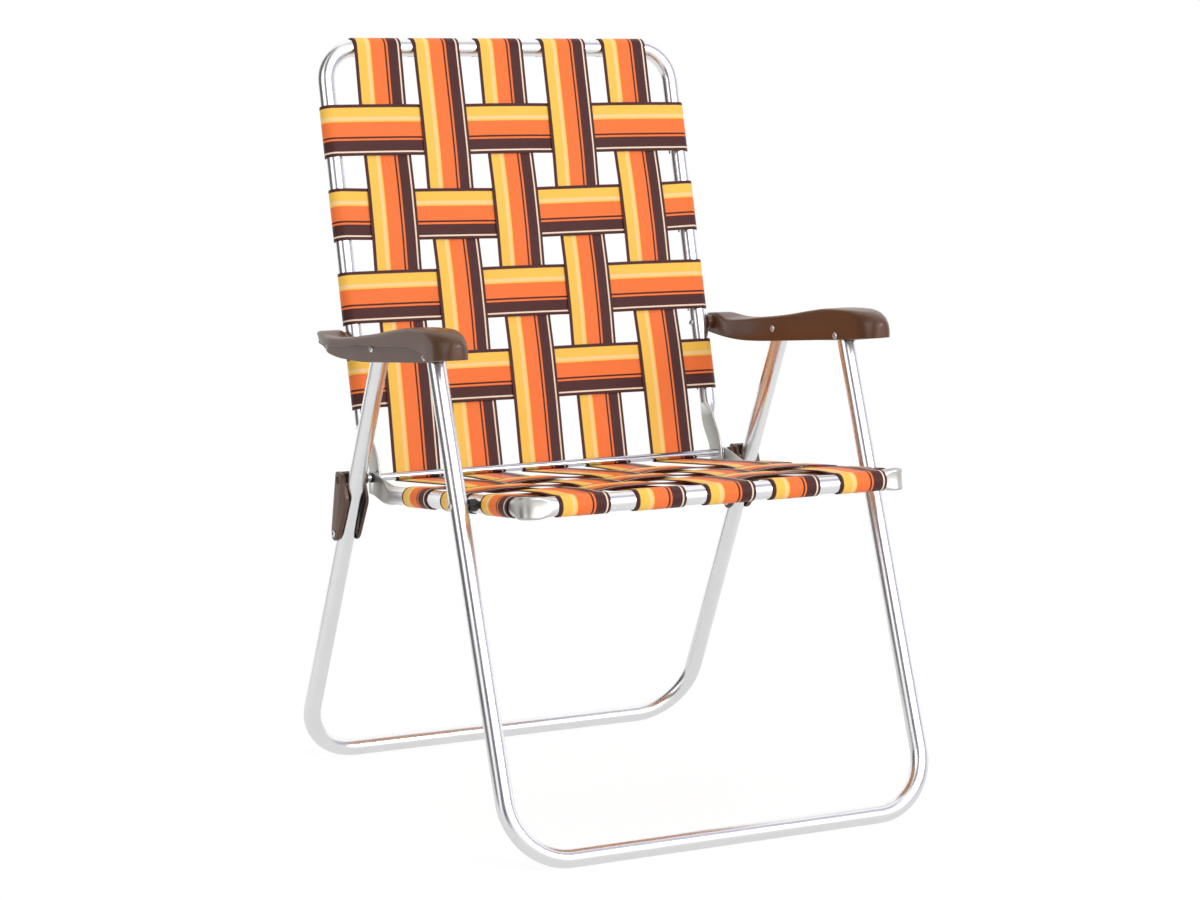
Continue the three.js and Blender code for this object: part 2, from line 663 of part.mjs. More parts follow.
// Middle line of a web, as (along, height): level across its crossings, above or below by half a web
const weave = WEB_T / 2 + RUN_GAP;
const webBend = TUBE_R + RUN_GAP + WEB_T / 2;
const crossingLine = (crossings) => crossings.flatMap(({ at, over }) => {
  const half = WEB_WIDTH / 2 + WEB_CROSS_MARGIN;
  return [new THREE.Vector2(at - half, over * weave), new THREE.Vector2(at + half, over * weave)];
});

// Round an arc's outside with straight pieces that touch it
function wrapArc(centre, radius, start, end, steps) {
  const pitch = (end - start) / steps;
  const reach = radius / Math.cos(pitch / 2);
  return Array.from({ length: steps }, (_, k) => ringPoint(centre, reach, start + (k + 0.5) * pitch));
}

// From the top of a tube at `at`, round it and back under it; way is the side it turns to
function tubeEnd(at, way) {
  const centre = new THREE.Vector2(at, -webBend);
  const top = Math.PI / 2;
  const arc = wrapArc(centre, webBend, top, top - way * Math.PI, WEB_WRAP_STEPS);
  return [...arc, new THREE.Vector2(at - way * WEB_TAIL, -2 * webBend)];
}

// Strap of constant thickness along a middle line; lift places (along, height, across) in space
function strap(line, lift) {
  const rings = line.map((point, i) => {
    const before = line[Math.max(i - 1, 0)];
    const after = line[Math.min(i + 1, line.length - 1)];
    const inDir = point.clone().sub(before).normalize();
    const outDir = after.clone().sub(point).normalize();
    const along = inDir.clone().add(outDir).normalize();
    const spread = i > 0 && i + 1 < line.length ? 1 / along.dot(inDir) : 1;
    const normal = new THREE.Vector2(-along.y, along.x).multiplyScalar((spread * WEB_T) / 2);
    const upper = point.clone().add(normal);
    const lower = point.clone().sub(normal);
    const half = WEB_WIDTH / 2;
    return [lift(lower, half), lift(upper, half), lift(upper, -half), lift(lower, -half)];
  });
  const corners = [[0, 0], [1, 0], [1, 1], [0, 1]].map(([x, y]) => new THREE.Vector2(x, y));
  return loft(rings, (_, k) => corners[k]);
}

const spread = (count, pitch, first) => Array.from({ length: count }, (_, i) => first + i * pitch);
const backRows = spread(BACK_ROWS, BACK_ROW_PITCH, BACK_LOWEST_ROW);
const seatRows = spread(SEAT_ROWS, SEAT_ROW_PITCH, SEAT_FRONT_ROW);
const over = (row, column) => ((row + column) % 2 === 0 ? -1 : 1);

// Plain weave of one panel. Its origin lies on the frame's axis in the side view, `run` is the
// direction of its long webs and `face` the sitter's side. columnAt gives a long web's middle at u,
// longLine its middle line from its crossings.
function panel(names, origin, run, face, rows, columnAt, longLine) {
  const inPanel = (x, u, h) => pointIn(x, origin, u, run, webBend + h, face);
  for (let column = 0; column < LONG_WEBS; column += 1) {
    const line = longLine(crossingLine(rows.map((at, row) => ({ at, over: -over(row, column) }))));
    const web = strap(line, (p, across) => inPanel(columnAt(column, p.x) + across, p.x, p.y));
    add(`${names.long}_${column + 1}`, web, webbing);
  }
  rows.forEach((u, row) => {
    const crossings = spread(LONG_WEBS, 1, 0).map((column) =>
      ({ at: columnAt(column, u), over: over(row, column) }));
    const ends = [tubeEnd(-SEAT_HALF, -1).reverse(), tubeEnd(SEAT_HALF, 1)];
    const line = [...ends[0], ...crossingLine(crossings), ...ends[1]];
    add(`${names.cross}_${row + 1}`, strap(line, (p, across) => inPanel(p.x, u + across, p.y)), webbing);
  });
}

// The long webs fan out a little from the top of the back, under the hinge rod, to the seat's front.
// An edge is the distance from the axis of the frame's side to the middle of the outermost web.
function fan(u0, edge0, shift0, u1, edge1, shift1) {
  return (column, u) => {
    const share = (u - u0) / (u1 - u0);
    const outermost = SEAT_HALF - THREE.MathUtils.lerp(edge0, edge1, share);
    const shift = THREE.MathUtils.lerp(shift0, shift1, share);
    return shift + outermost * ((2 * column) / (LONG_WEBS - 1) - 1);
  };
}

// Each long web is one strap; it is parted behind the hinge rod, where its halves turn on the axle
const hingeBend = ROD_R + RUN_GAP + WEB_T / 2;
panel(
  { long: 'back_upright_web', cross: 'back_cross_web' },
  backFoot, BACK_DIR, BACK_REAR.clone().negate(), backRows,
  fan(0, EDGE_AT_HINGE, SHIFT_AT_HINGE, BACK_UP, EDGE_AT_TOP, SHIFT_AT_TOP),
  (crossings) => [
    new THREE.Vector2(HINGE_SPLIT, setback - hingeBend - webBend),
    ...crossings,
    ...tubeEnd(BACK_UP, 1),
  ],
);
const hingeInSeat = new THREE.Vector2(AXLE_BEHIND, AXLE_OVER_RAIL - webBend);
const wrapEnd = SEAT_TILT - BACK_RECLINE - HINGE_SPLIT / hingeBend;
panel(
  { long: 'seat_length_web', cross: 'seat_cross_web' },
  seatPivot, SEAT_DIR, SEAT_UP, seatRows,
  fan(-SEAT_FRONT, EDGE_AT_FRONT, SHIFT_AT_FRONT, AXLE_BEHIND, EDGE_AT_HINGE, SHIFT_AT_HINGE),
  (crossings) => [
    ...tubeEnd(-SEAT_FRONT, -1).reverse(),
    ...crossings,
    ...wrapArc(hingeInSeat, hingeBend, -Math.PI / 2, wrapEnd, HINGE_WRAP_STEPS),
    ringPoint(hingeInSeat, hingeBend, wrapEnd),
  ],
);

// Origin on the floor, under the middle of the chair
const extent = new THREE.Box3().setFromObject(chair);
const middle = extent.getCenter(new THREE.Vector3());
chair.children.forEach((mesh) => mesh.position.set(0, -middle.y, -extent.min.z));

export default chair;
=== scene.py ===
import json
import math

import bmesh
import bpy
import numpy as np
from mathutils import Matrix, Vector


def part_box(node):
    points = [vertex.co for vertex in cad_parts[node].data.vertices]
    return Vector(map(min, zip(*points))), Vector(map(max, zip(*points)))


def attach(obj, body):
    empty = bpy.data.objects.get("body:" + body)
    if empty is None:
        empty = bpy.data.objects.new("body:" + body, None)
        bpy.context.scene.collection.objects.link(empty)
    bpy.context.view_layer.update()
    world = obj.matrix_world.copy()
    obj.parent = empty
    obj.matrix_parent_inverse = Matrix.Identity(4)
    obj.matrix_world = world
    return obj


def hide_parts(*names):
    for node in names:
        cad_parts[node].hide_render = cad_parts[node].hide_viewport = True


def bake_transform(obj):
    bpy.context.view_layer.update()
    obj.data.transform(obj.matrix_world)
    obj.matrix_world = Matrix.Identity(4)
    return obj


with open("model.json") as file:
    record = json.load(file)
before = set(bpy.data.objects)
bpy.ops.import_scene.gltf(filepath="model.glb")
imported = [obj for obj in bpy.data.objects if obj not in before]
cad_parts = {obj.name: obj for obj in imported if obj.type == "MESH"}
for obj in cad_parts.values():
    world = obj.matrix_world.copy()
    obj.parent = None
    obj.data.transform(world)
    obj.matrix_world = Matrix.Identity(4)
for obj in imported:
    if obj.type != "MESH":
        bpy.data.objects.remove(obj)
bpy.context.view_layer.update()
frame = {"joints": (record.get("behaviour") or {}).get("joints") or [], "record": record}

# Studio: a seamless pale floor with white all round it, and soft lamps to both sides and above.
# Narrow dark gaps between the light banks draw the fine dark lines that bright tube shows.
mm = 0.001


class Wire:
    """A shader socket that takes part in arithmetic: each operation adds one Math node."""

    def __init__(self, tree, socket):
        self.tree = tree
        self.socket = socket

    def node(self, kind, settings, inputs, output=0):
        """Adds a node, sets its settings first, then gives its inputs their values or links."""
        made = self.tree.nodes.new(kind)
        for name, value in settings.items():
            if name == "stops":
                ramp = made.color_ramp.elements
                for stop in value[2:]:
                    ramp.new(stop[0])
                for element, (place, colour) in zip(ramp, value):
                    element.position = place
                    element.color = colour
            else:
                setattr(made, name, value)
        for key, value in inputs.items():
            if isinstance(value, Wire):
                self.tree.links.new(value.socket, made.inputs[key])
            else:
                made.inputs[key].default_value = value
        return Wire(self.tree, made.outputs[output])

    def math(self, operation, first, second=0.0):
        """One Math node on two values."""
        return self.node("ShaderNodeMath", {"operation": operation}, {0: first, 1: second})

    def __add__(self, other):
        return self.math("ADD", self, other)

    def __sub__(self, other):
        return self.math("SUBTRACT", self, other)

    def __mul__(self, other):
        return self.math("MULTIPLY", self, other)

    def __truediv__(self, other):
        return self.math("DIVIDE", self, other)

    def __rsub__(self, other):
        return self.math("SUBTRACT", other, self)

    __radd__ = __add__
    __rmul__ = __mul__

    def eased(self, start, stop, low=0.0, high=1.0):
        """This value's rise from low, at start, to high, at stop, along an S-shaped curve."""
        return self.node("ShaderNodeMapRange", {"interpolation_type": "SMOOTHSTEP"}, {
            "Value": self, "From Min": start, "From Max": stop, "To Min": low, "To Max": high})

    def between(self, first, second):
        """The colour at this share of the way from a first one to a second."""
        return self.node("ShaderNodeMix", {"data_type": "RGBA"}, {0: self, 6: first, 7: second}, 2)

    def into(self, node, socket):
        """Links this socket to an input of a node."""
        self.tree.links.new(self.socket, node.inputs[socket])


def new_finish(name):
    """A new material, its shader node and a wire that adds nodes to it."""
    finish = bpy.data.materials.new(name)
    finish.use_nodes = True
    shader = finish.node_tree.nodes["Principled BSDF"]
    return finish, shader, Wire(finish.node_tree, shader.outputs[0])


def srgb(red, green, blue):
    """A colour given in screen values from 0 to 255, as linear light."""
    share = np.array([red, green, blue]) / 255
    linear = np.where(share <= 0.04045, share / 12.92, ((share + 0.055) / 1.055) ** 2.4)
    return (*linear.tolist(), 1.0)


CAMERA_AT = np.array([-1.58235, -2.82615, 0.84487])
CAMERA_TURN = math.radians(29.095)
CAMERA_DIP = math.radians(8.337)
CAMERA_ROLL = math.radians(0.565)
LENS = 91.51
SENSOR = 36

camera_data = bpy.data.cameras.new("photo_camera")
camera_data.lens = LENS
camera_data.sensor_fit = "HORIZONTAL"
camera_data.sensor_width = SENSOR
camera = bpy.data.objects.new("photo_camera", camera_data)
bpy.context.scene.collection.objects.link(camera)
ahead = np.array([
    math.sin(CAMERA_TURN) * math.cos(CAMERA_DIP),
    math.cos(CAMERA_TURN) * math.cos(CAMERA_DIP),
    -math.sin(CAMERA_DIP),
])
level = np.array([math.cos(CAMERA_TURN), -math.sin(CAMERA_TURN), 0.0])
upright = np.cross(level, ahead)
rolled = math.cos(CAMERA_ROLL) * level + math.sin(CAMERA_ROLL) * upright
top = np.cross(rolled, ahead)
camera.matrix_world = Matrix(np.column_stack([rolled, top, -ahead, CAMERA_AT]).tolist() + [[0, 0, 0, 1]])
bpy.context.scene.camera = camera
bpy.context.scene.view_settings.view_transform = "Standard"

# The floor shows the camera mostly plain white, so its shadow stays faint. Metal mirrors it a little darker
# under the chair, a painted shade in its glow, and it fades out with distance from the chair's middle.
FLOOR_HALF = 8.0
FLOOR_DROP = 0.4 * mm
PAPER_TONE = (0.9, 0.9, 0.9, 1)
FLOOR_WHITE = 0.84
FLOOR_GLOW = 1.05
FLOOR_SHINE = 0.86
SHADED_SHINE = 0.8
SHADED_TO = (0.25, 0.6)
FADES_OVER = (0.5, 1.1)
SKY = 0.66
SHEEN = 1.1
FLOOR_SLOPES = (-0.17, -0.32)
WHITE = (1, 1, 1, 1)
# Each gap has degrees round from the camera, half its width in degrees, and its tone. Each lamp has its
# place, size, power and whether metal mirrors it.
GAP_EDGE = 0.3
GAPS = [
    (-91, 25, srgb(84, 80, 82)),
    (-19, 17, srgb(92, 80, 100)),
    (88, 15, srgb(172, 166, 190)),
]
LAMPS = [
    ("right_bank", (1.3, -3.1, 1.45), 1.5, 46.0, True),
    ("camera_bank", (-0.9, -3.4, 2.3), 1.8, 18.0, True),
    ("left_bank", (-2.8, -0.6, 1.7), 1.6, 8.0, True),
    ("top_bank", (0.3, 0.2, 3.0), 2.2, 20.0, False),
]
LAMPS_AIM = Vector((0, 0, 0.42))

floor_mesh = bpy.data.meshes.new("floor")
floor_corners = FLOOR_HALF * np.array([[-1, -1], [1, -1], [1, 1], [-1, 1]])
floor_mesh.from_pydata([(x, y, -FLOOR_DROP) for x, y in floor_corners], [], [(0, 1, 2, 3)])
floor = bpy.data.objects.new("floor", floor_mesh)
bpy.context.scene.collection.objects.link(floor)

paper, paper_shader, matt = new_finish("floor_paper")
paper_shader.inputs["Base Color"].default_value = PAPER_TONE
paper_shader.inputs["Roughness"].default_value = 0.9
paper_shader.inputs["Specular IOR Level"].default_value = 0.1
seen = matt.node("ShaderNodeLightPath", {}, {}, "Is Camera Ray")
shone = matt.node("ShaderNodeLightPath", {}, {}, "Is Glossy Ray")
point = matt.node("ShaderNodeNewGeometry", {}, {})
spread = matt.node("ShaderNodeVectorMath", {"operation": "LENGTH"}, {0: point}, 1)
# Painted shade: the glow that metal mirrors is darker near the chair's middle.
shine = spread.eased(*SHADED_TO, SHADED_SHINE, FLOOR_SHINE)
glow = matt.node("ShaderNodeEmission", {}, {"Strength": seen * FLOOR_GLOW + shone * shine})
lit = matt.node("ShaderNodeMixShader", {}, {0: seen * FLOOR_WHITE + shone, 1: matt, 2: glow})
clear = matt.node("ShaderNodeBsdfTransparent", {}, {})
faded = matt.node("ShaderNodeMixShader", {}, {0: spread.eased(*FADES_OVER), 1: lit, 2: clear})
faded.into(paper.node_tree.nodes["Material Output"], "Surface")
floor_mesh.materials.append(paper)

world = bpy.data.worlds.new("studio")
bpy.context.scene.world = world
world.use_nodes = True
sky = world.node_tree.nodes["Background"]
backdrop = Wire(world.node_tree, sky.outputs[0])
bearing = backdrop.node("ShaderNodeTexCoord", {}, {}, "Generated")
flat_way = bearing.node("ShaderNodeVectorMath", {"operation": "MULTIPLY"}, {0: bearing, 1: (1, 1, 0)})
flat_way = bearing.node("ShaderNodeVectorMath", {"operation": "NORMALIZE"}, {0: flat_way})
light = WHITE
for turn, half, dark in GAPS:
    angle = CAMERA_TURN - math.radians(turn)
    gap_way = (-math.sin(angle), -math.cos(angle), 0)
    facing = bearing.node("ShaderNodeVectorMath", {"operation": "DOT_PRODUCT"}, {0: flat_way, 1: gap_way}, 1)
    outer_edge = math.cos(math.radians((1 + GAP_EDGE) * half))
    inner_edge = math.cos(math.radians((1 - GAP_EDGE) * half))
    light = facing.eased(outer_edge, inner_edge).between(light, dark)
slope = bearing.node("ShaderNodeSeparateXYZ", {}, {0: bearing}, 2)
floor_tone = (FLOOR_SHINE / SHEEN,) * 3 + (1,)
light = slope.eased(*FLOOR_SLOPES).between(light, floor_tone)
camera_ray = backdrop.node("ShaderNodeLightPath", {}, {}, "Is Camera Ray")
glossy_ray = backdrop.node("ShaderNodeLightPath", {}, {}, "Is Glossy Ray")
glossy_ray.between(WHITE, light).into(sky, "Color")
(camera_ray + (1 - camera_ray) * (SKY + glossy_ray * (SHEEN - SKY))).into(sky, "Strength")

for name, spot, size, power, mirrored in LAMPS:
    lamp_data = bpy.data.lights.new(name, "AREA")
    lamp_data.size = size
    lamp_data.energy = power
    lamp = bpy.data.objects.new(name, lamp_data)
    bpy.context.scene.collection.objects.link(lamp)
    lamp.location = spot
    lamp.visible_glossy = mirrored
    lamp.rotation_euler = (LAMPS_AIM - Vector(spot)).to_track_quat("-Z", "Y").to_euler()

# Leg frames: two U-shaped lengths of bright drawn aluminium tube, open at the top and bent to a floor bar.
# The front one carries the seat on rivets; both end inside the armrests.
TUBE_R = 9.525 * mm
TUBE_WALL = 1.2 * mm
TUBE_ROUND = 40
TAB_HALF_T = 1.1 * TUBE_WALL
TAB_GIRTH = 0.86
LEG_BEND = 64 * mm
LEG_STUB = 5 * mm
RIVET_R = 2.4 * mm
RIVET_HOLE = RIVET_R + 0.15 * mm
CAD_SIDES = 12
SHARP_EDGE = math.radians(38)
BRIGHT_METAL = (0.9, 0.9, 0.905, 1)
PRESSED_METAL = (0.6, 0.59, 0.555, 1)
DRAWN_LINES = (900, 6, 1)
SMUDGES = 34
SMUDGE_TONE = 0.86
LINE_ROUGH, SMUDGE_ROUGH, PRESSED_ROUGH = 0.1, 0.12, 0.2


def unit(vectors):
    """Vectors scaled to length one."""
    return vectors / np.linalg.norm(vectors, axis=-1, keepdims=True)


def side(vector):
    """The (y, z) of a point, which is its place in the side view."""
    return np.array(vector)[1:]


def middle(node):
    """The middle of a CAD node's box."""
    low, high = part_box(node)
    return (np.array(low) + np.array(high)) / 2


def shell(grid, ring):
    """Corner numbers of a grid's faces: rows run along a shape and columns run round it. A ring's last row
    joins its first; any other shape is closed by a flat face at each end."""
    rows, columns = grid.shape[:2]
    row = np.arange(rows if ring else rows - 1)[:, None]
    column = np.arange(columns)[None, :]
    here = row * columns
    after = (row + 1) % rows * columns
    turn = (column + 1) % columns
    faces = np.stack([here + column, here + turn, after + turn, after + column], -1).reshape(-1, 4).tolist()
    if not ring:
        faces += [list(range(columns - 1, -1, -1)), list(range((rows - 1) * columns, rows * columns))]
    return faces


def closed_mesh(name, grid, ring=False):
    """Mesh of one grid, and whether its faces point inward."""
    mesh = bpy.data.meshes.new(name)
    mesh.from_pydata(grid.reshape(-1, 3).tolist(), [], shell(grid, ring))
    shape = bmesh.new()
    shape.from_mesh(mesh)
    inside_out = shape.calc_volume(signed=True) < 0
    shape.free()
    return mesh, inside_out


def carved(mesh, grid):
    """The mesh less the closed shape that a grid makes."""
    tool_mesh, inside_out = closed_mesh("tool", grid)
    if inside_out:
        tool_mesh.flip_normals()
    work = bpy.data.objects.new("work", mesh)
    tool = bpy.data.objects.new("tool", tool_mesh)
    for item in (work, tool):
        bpy.context.scene.collection.objects.link(item)
    cut = work.modifiers.new("cut", "BOOLEAN")
    cut.operation = "DIFFERENCE"
    cut.solver = "EXACT"
    cut.object = tool
    made = bpy.data.meshes.new_from_object(work.evaluated_get(bpy.context.evaluated_depsgraph_get()))
    for item in (work, tool):
        bpy.data.objects.remove(item)
    return made


def solid(name, grid, finish, body, nodes, ring=False, uv=None, cuts=(), tone=None):
    """Makes one piece from a grid of points and cuts closed grids out of it. uv gives the grid's corners a
    place on the pattern, with one more column than the grid, and one more row on a ring; tone is each row's
    share, from 0 to 1, of the finish's second tone."""
    mesh, inside_out = closed_mesh(name, grid, ring)
    if tone is not None:
        share = mesh.attributes.new("second_tone", "FLOAT", "POINT")
        share.data.foreach_set("value", np.repeat(tone, grid.shape[1]).astype(np.float32))
    if uv is not None:
        rows, columns = uv.shape[0] - 1, uv.shape[1] - 1
        row, column = np.arange(rows)[:, None], np.arange(columns)[None, :]
        corners = [(row, column), (row, column + 1), (row + 1, column + 1), (row + 1, column)]
        places = [np.stack([uv[corner] for corner in corners], 2).reshape(-1, 2)]
        if not ring:
            places += [uv[0, columns - 1::-1], uv[-1, :columns]]
        layer = mesh.uv_layers.new(name="UVMap")
        layer.data.foreach_set("uv", np.concatenate(places).astype(np.float32).ravel())
    if inside_out:
        mesh.flip_normals()
    for cut in cuts:
        mesh = carved(mesh, cut)
    mesh.name = name
    mesh.shade_smooth()
    mesh.set_sharp_from_angle(angle=SHARP_EDGE)
    mesh.materials.clear()
    mesh.materials.append(finish)
    piece = bpy.data.objects.new(name, mesh)
    bpy.context.scene.collection.objects.link(piece)
    if body:
        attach(piece, body)
    if nodes:
        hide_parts(*nodes)
    return piece


def turned(profile, pivot, count=36):
    """Surface of revolution about an axis across the chair: a profile's (across, radius) turned round it."""
    angle = np.linspace(0, 2 * np.pi, count, endpoint=False)
    ring = np.stack([np.zeros_like(angle), np.cos(angle), np.sin(angle)], -1)
    profile = np.asarray(profile)
    along = profile[:, None, :1] * np.array([1, 0, 0])
    return np.array([0, *pivot]) + along + profile[:, None, 1:] * ring


def bore(pivot, radius):
    """A drill right across the chair at a pivot, as a grid to cut with."""
    return turned([[-1, radius], [1, radius]], pivot, 28)


def u_line(half, bend, limb, bar=None):
    """Middle line of a U of tube from one open end to the other, as (across, distance from the bar): a
    straight bar, with its own distances from the middle if given, a quarter circle at each corner, then the
    limb's own distances."""
    turn = np.linspace(0, np.pi / 2, 17)
    corner = np.column_stack([half - bend + bend * np.sin(turn), bend - bend * np.cos(turn)])
    bar = np.linspace(0, half - bend, 9) if bar is None else bar
    bar = np.column_stack([bar, np.zeros_like(bar)])
    limbs = np.column_stack([np.full_like(limb, half), limb])
    right = np.concatenate([bar[:-1], corner, limbs])
    return np.concatenate([right[:0:-1] * (-1, 1), right])


def run_length(line):
    """Distance along a line of points from its first one."""
    return np.concatenate([[0], np.cumsum(np.linalg.norm(np.diff(line, axis=0), axis=1))])


def pipe(line, facing, flat, dent):
    """Tube carried along a line, with its wall: an outer skin forward, an inner one back. facing is the
    plane's normal. flat runs from 0, round, to 1, squeezed to its two walls across the plane, with most of
    its girth kept; dent, if given, moves each ring's points across the tube."""
    count = len(line)
    after = line[np.minimum(np.arange(count) + 1, count - 1)]
    before = line[np.maximum(np.arange(count) - 1, 0)]
    tangent = unit(after - before)
    wide = unit(facing - tangent * (tangent @ facing)[:, None])
    thin = np.cross(tangent, wide)
    angle = np.linspace(0, 2 * np.pi, TUBE_ROUND, endpoint=False) + np.pi / TUBE_ROUND
    half = (TUBE_R + flat * (TAB_HALF_T - TUBE_R))[:, None]
    stretch = TAB_GIRTH * np.pi / 2 * (TUBE_R - half)
    skins = []
    for inset in (0, TUBE_WALL):
        along = np.sign(np.cos(angle)) * stretch + (half - inset) * np.cos(angle)
        across = (half - inset) * np.sin(angle)
        if dent:
            across = dent(along, across, half, stretch)
        skins.append(line[:, None] + along[..., None] * wide[:, None] + across[..., None] * thin[:, None])
    grid = np.concatenate([skins[0], skins[1][::-1]])
    run = run_length(line)
    run = np.concatenate([run, run[::-1], run[:1]])
    girth = np.linspace(0, 2 * np.pi * TUBE_R, TUBE_ROUND + 1)
    return grid, np.stack(np.meshgrid(girth, run), -1)


def bright_metal(name, colour, roughness, line_depth):
    """Drawn bright metal: fine lines along its length, a cloudy gloss and faint dull smudges. Its second tone
    is the duller metal where a press squeezed it."""
    metal, shader, face = new_finish(name)
    shader.inputs["Metallic"].default_value = 1
    map_at = face.node("ShaderNodeTexCoord", {}, {}, "UV")
    space = face.node("ShaderNodeTexCoord", {}, {}, "Object")
    drawn = face.node("ShaderNodeMapping", {}, {"Vector": map_at, "Scale": DRAWN_LINES})
    lines = face.node("ShaderNodeTexNoise", {}, {"Vector": drawn, "Scale": 1.0, "Detail": 2.0})
    cloud = face.node("ShaderNodeTexNoise", {}, {"Vector": space, "Scale": SMUDGES, "Detail": 3.0})
    pressed = face.node("ShaderNodeAttribute", {"attribute_name": "second_tone"}, {}, "Fac")
    smudged = (cloud * 0.5).between(colour, tuple(SMUDGE_TONE * part for part in colour[:3]) + (1,))
    pressed.between(smudged, PRESSED_METAL).into(shader, "Base Color")
    gloss = roughness + (lines - 0.5) * LINE_ROUGH + (cloud - 0.5) * SMUDGE_ROUGH + pressed * PRESSED_ROUGH
    gloss.into(shader, "Roughness")
    bump = face.node("ShaderNodeBump", {}, {"Strength": 0.35, "Distance": line_depth, "Height": lines})
    bump.into(shader, "Normal")
    return metal


joints = {joint["name"]: side(joint["pos_m"]) for joint in frame["joints"]}
axle = joints["back_fold"]
seat_pivot = joints["front_leg_fold"]
back_arm_pivot = joints["arm_fold"]
rear_arm_pivot = joints["rear_leg_fold"]
front_arm_pivot = side(middle("arm_front_rivet_right"))
link_pivot = side(middle("link_rivet_outer_right"))
# The CAD's tube has flat sides, so its box ends at a flat, a little inside the round tube.
flat_r = TUBE_R * math.cos(math.pi / CAD_SIDES)
leg_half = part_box("front_leg_frame")[1].x - flat_r
foot_rest = {mount["name"]: mount["pos_m"][1] for mount in frame["record"]["mounts"]}
tube_metal = bright_metal("bright_tube", BRIGHT_METAL, roughness=0.25, line_depth=0.02 * mm)


def bent_tube(name, body, line, facing, pivots, flat=None, dent=None, pressed=None):
    """One bent frame: tube along a line, drilled at (place, radius) pivots and dull where it was pressed."""
    flat = np.zeros(len(line)) if flat is None else flat
    grid, uv = pipe(line, np.array([0, *facing]), flat, dent)
    holes = [bore(*pivot) for pivot in pivots]
    tone = None if pressed is None else np.concatenate([pressed, pressed[::-1]])
    solid(name + "_tube", grid, tube_metal, body, [name],
          ring=True, uv=uv, cuts=holes, tone=tone)


def leg_frame(name, body, foot_y, pivots):
    """U of tube in a leaning plane, from a floor bar to a stub above its topmost rivet."""
    foot = np.array([foot_y, flat_r])
    up = unit(pivots[0] - foot)
    reach = np.linalg.norm(pivots[0] - foot) + LEG_STUB
    flat_line = u_line(leg_half, LEG_BEND, np.linspace(LEG_BEND, reach, 40)[1:])
    line = np.column_stack([flat_line[:, 0], foot + flat_line[:, 1:] * up])
    bent_tube(name, body, line, (up[1], -up[0]), [(pivot, RIVET_HOLE) for pivot in pivots])


leg_frame("front_leg_frame", "front_legs", foot_rest["front_foot_bar"], [front_arm_pivot, seat_pivot])
leg_frame("rear_leg_frame", "rear_legs", foot_rest["rear_foot_bar"], [rear_arm_pivot])

# Seat frame: a U of the same tube. Its two front corners are pinched sharp in a press, which leaves a tall
# thin bend with a dished face; its two ends are squeezed flat and kinked up to the hinge rod.
SEAT_TILT = math.radians(5.9)
SEAT_FRONT = 94.2 * mm
SEAT_HALF = 217 * mm
CORNER_BEND = 6 * mm
CORNER_RUN = 22 * mm
CORNER_HALF_T = 4.5 * mm
DISH_DEPTH = 4.6 * mm
DISH_RUN = 30 * mm
DISH_FACE = (-0.2, 0.6)
DISH_FALL = 1.5
TAB_END = 9 * mm
TAB_MARGIN = 7 * mm
TAB_GAP = 2.6 * mm
SEAT_ROUNDS = (20 * mm, 56 * mm)
SEAT_KINK = (-9 * mm, 46 * mm)
SEAT_DULL = (44 * mm, 84 * mm)
ROD_R = 4.2 * mm
ROD_HOLE = ROD_R + 0.2 * mm

seat_up = np.array([math.sin(SEAT_TILT), math.cos(SEAT_TILT)])
seat_back = np.array([seat_up[1], -seat_up[0]])
axle_behind = (axle - seat_pivot) @ seat_back
axle_over_rail = (axle - seat_pivot) @ seat_up
tab_half_width = TAB_HALF_T + TAB_GIRTH * math.pi / 2 * (TUBE_R - TAB_HALF_T)


def smooth(value, start, stop):
    """0 before start, 1 after stop, and an S-shaped rise between them."""
    share = np.clip((value - start) / (stop - start), 0, 1)
    return share * share * (3 - 2 * share)


def tabbed(line, reach, rounds, shift, kink, kink_run):
    """Flattening, sideways shift and kink of a U's two ends. rounds and kink_run are the distances from the
    axle between which the tab turns to round tube and comes back into line."""
    short = reach - line[:, 1]
    flat = 1 - smooth(short, *rounds)
    lift = kink * (1 - smooth(short, *kink_run))
    across = line[:, 0] + np.sign(line[:, 0]) * shift * flat
    return across, lift, flat


seat_reach = SEAT_FRONT + axle_behind
limb = np.concatenate([
    np.linspace(CORNER_BEND, CORNER_BEND + 2 * CORNER_RUN, 23)[1:],
    np.linspace(CORNER_BEND + 2 * CORNER_RUN, seat_reach - SEAT_ROUNDS[1], 12)[1:],
    np.linspace(seat_reach - SEAT_ROUNDS[1], seat_reach + TAB_END, 40)[1:],
])
bar = np.concatenate([[0], SEAT_HALF - CORNER_BEND - np.linspace(2 * CORNER_RUN, 0, 23)])
seat_line = u_line(SEAT_HALF, CORNER_BEND, limb, bar)
seat_kink = axle_over_rail + TAB_MARGIN - tab_half_width
across, lift, flat = tabbed(seat_line, seat_reach, SEAT_ROUNDS, TAB_GAP, seat_kink, SEAT_KINK)
along_bar = SEAT_HALF - CORNER_BEND - np.abs(seat_line[:, 0])
from_corner = np.maximum(along_bar, seat_line[:, 1] - CORNER_BEND)
pinch = 1 - smooth(from_corner, 0, CORNER_RUN)
dish = 1 - smooth(from_corner, 0, DISH_RUN)
pressed = np.maximum(1 - smooth(seat_reach - seat_line[:, 1], *SEAT_DULL), dish)
flat = np.maximum(flat, pinch * (TUBE_R - CORNER_HALF_T) / (TUBE_R - TAB_HALF_T))


def pinched(along, across_tube, half, stretch):
    """The pinched corners' outer faces stay in line with the tube, and are pressed in to a dish that is
    deepest at mid height."""
    proud = (TUBE_R - CORNER_HALF_T) * pinch[:, None]
    height = np.clip(along / (half + stretch), -1, 1)
    sunk = DISH_DEPTH * dish[:, None] * (1 - height ** 2) ** DISH_FALL
    return across_tube + proud - sunk * smooth(across_tube / half, *DISH_FACE)


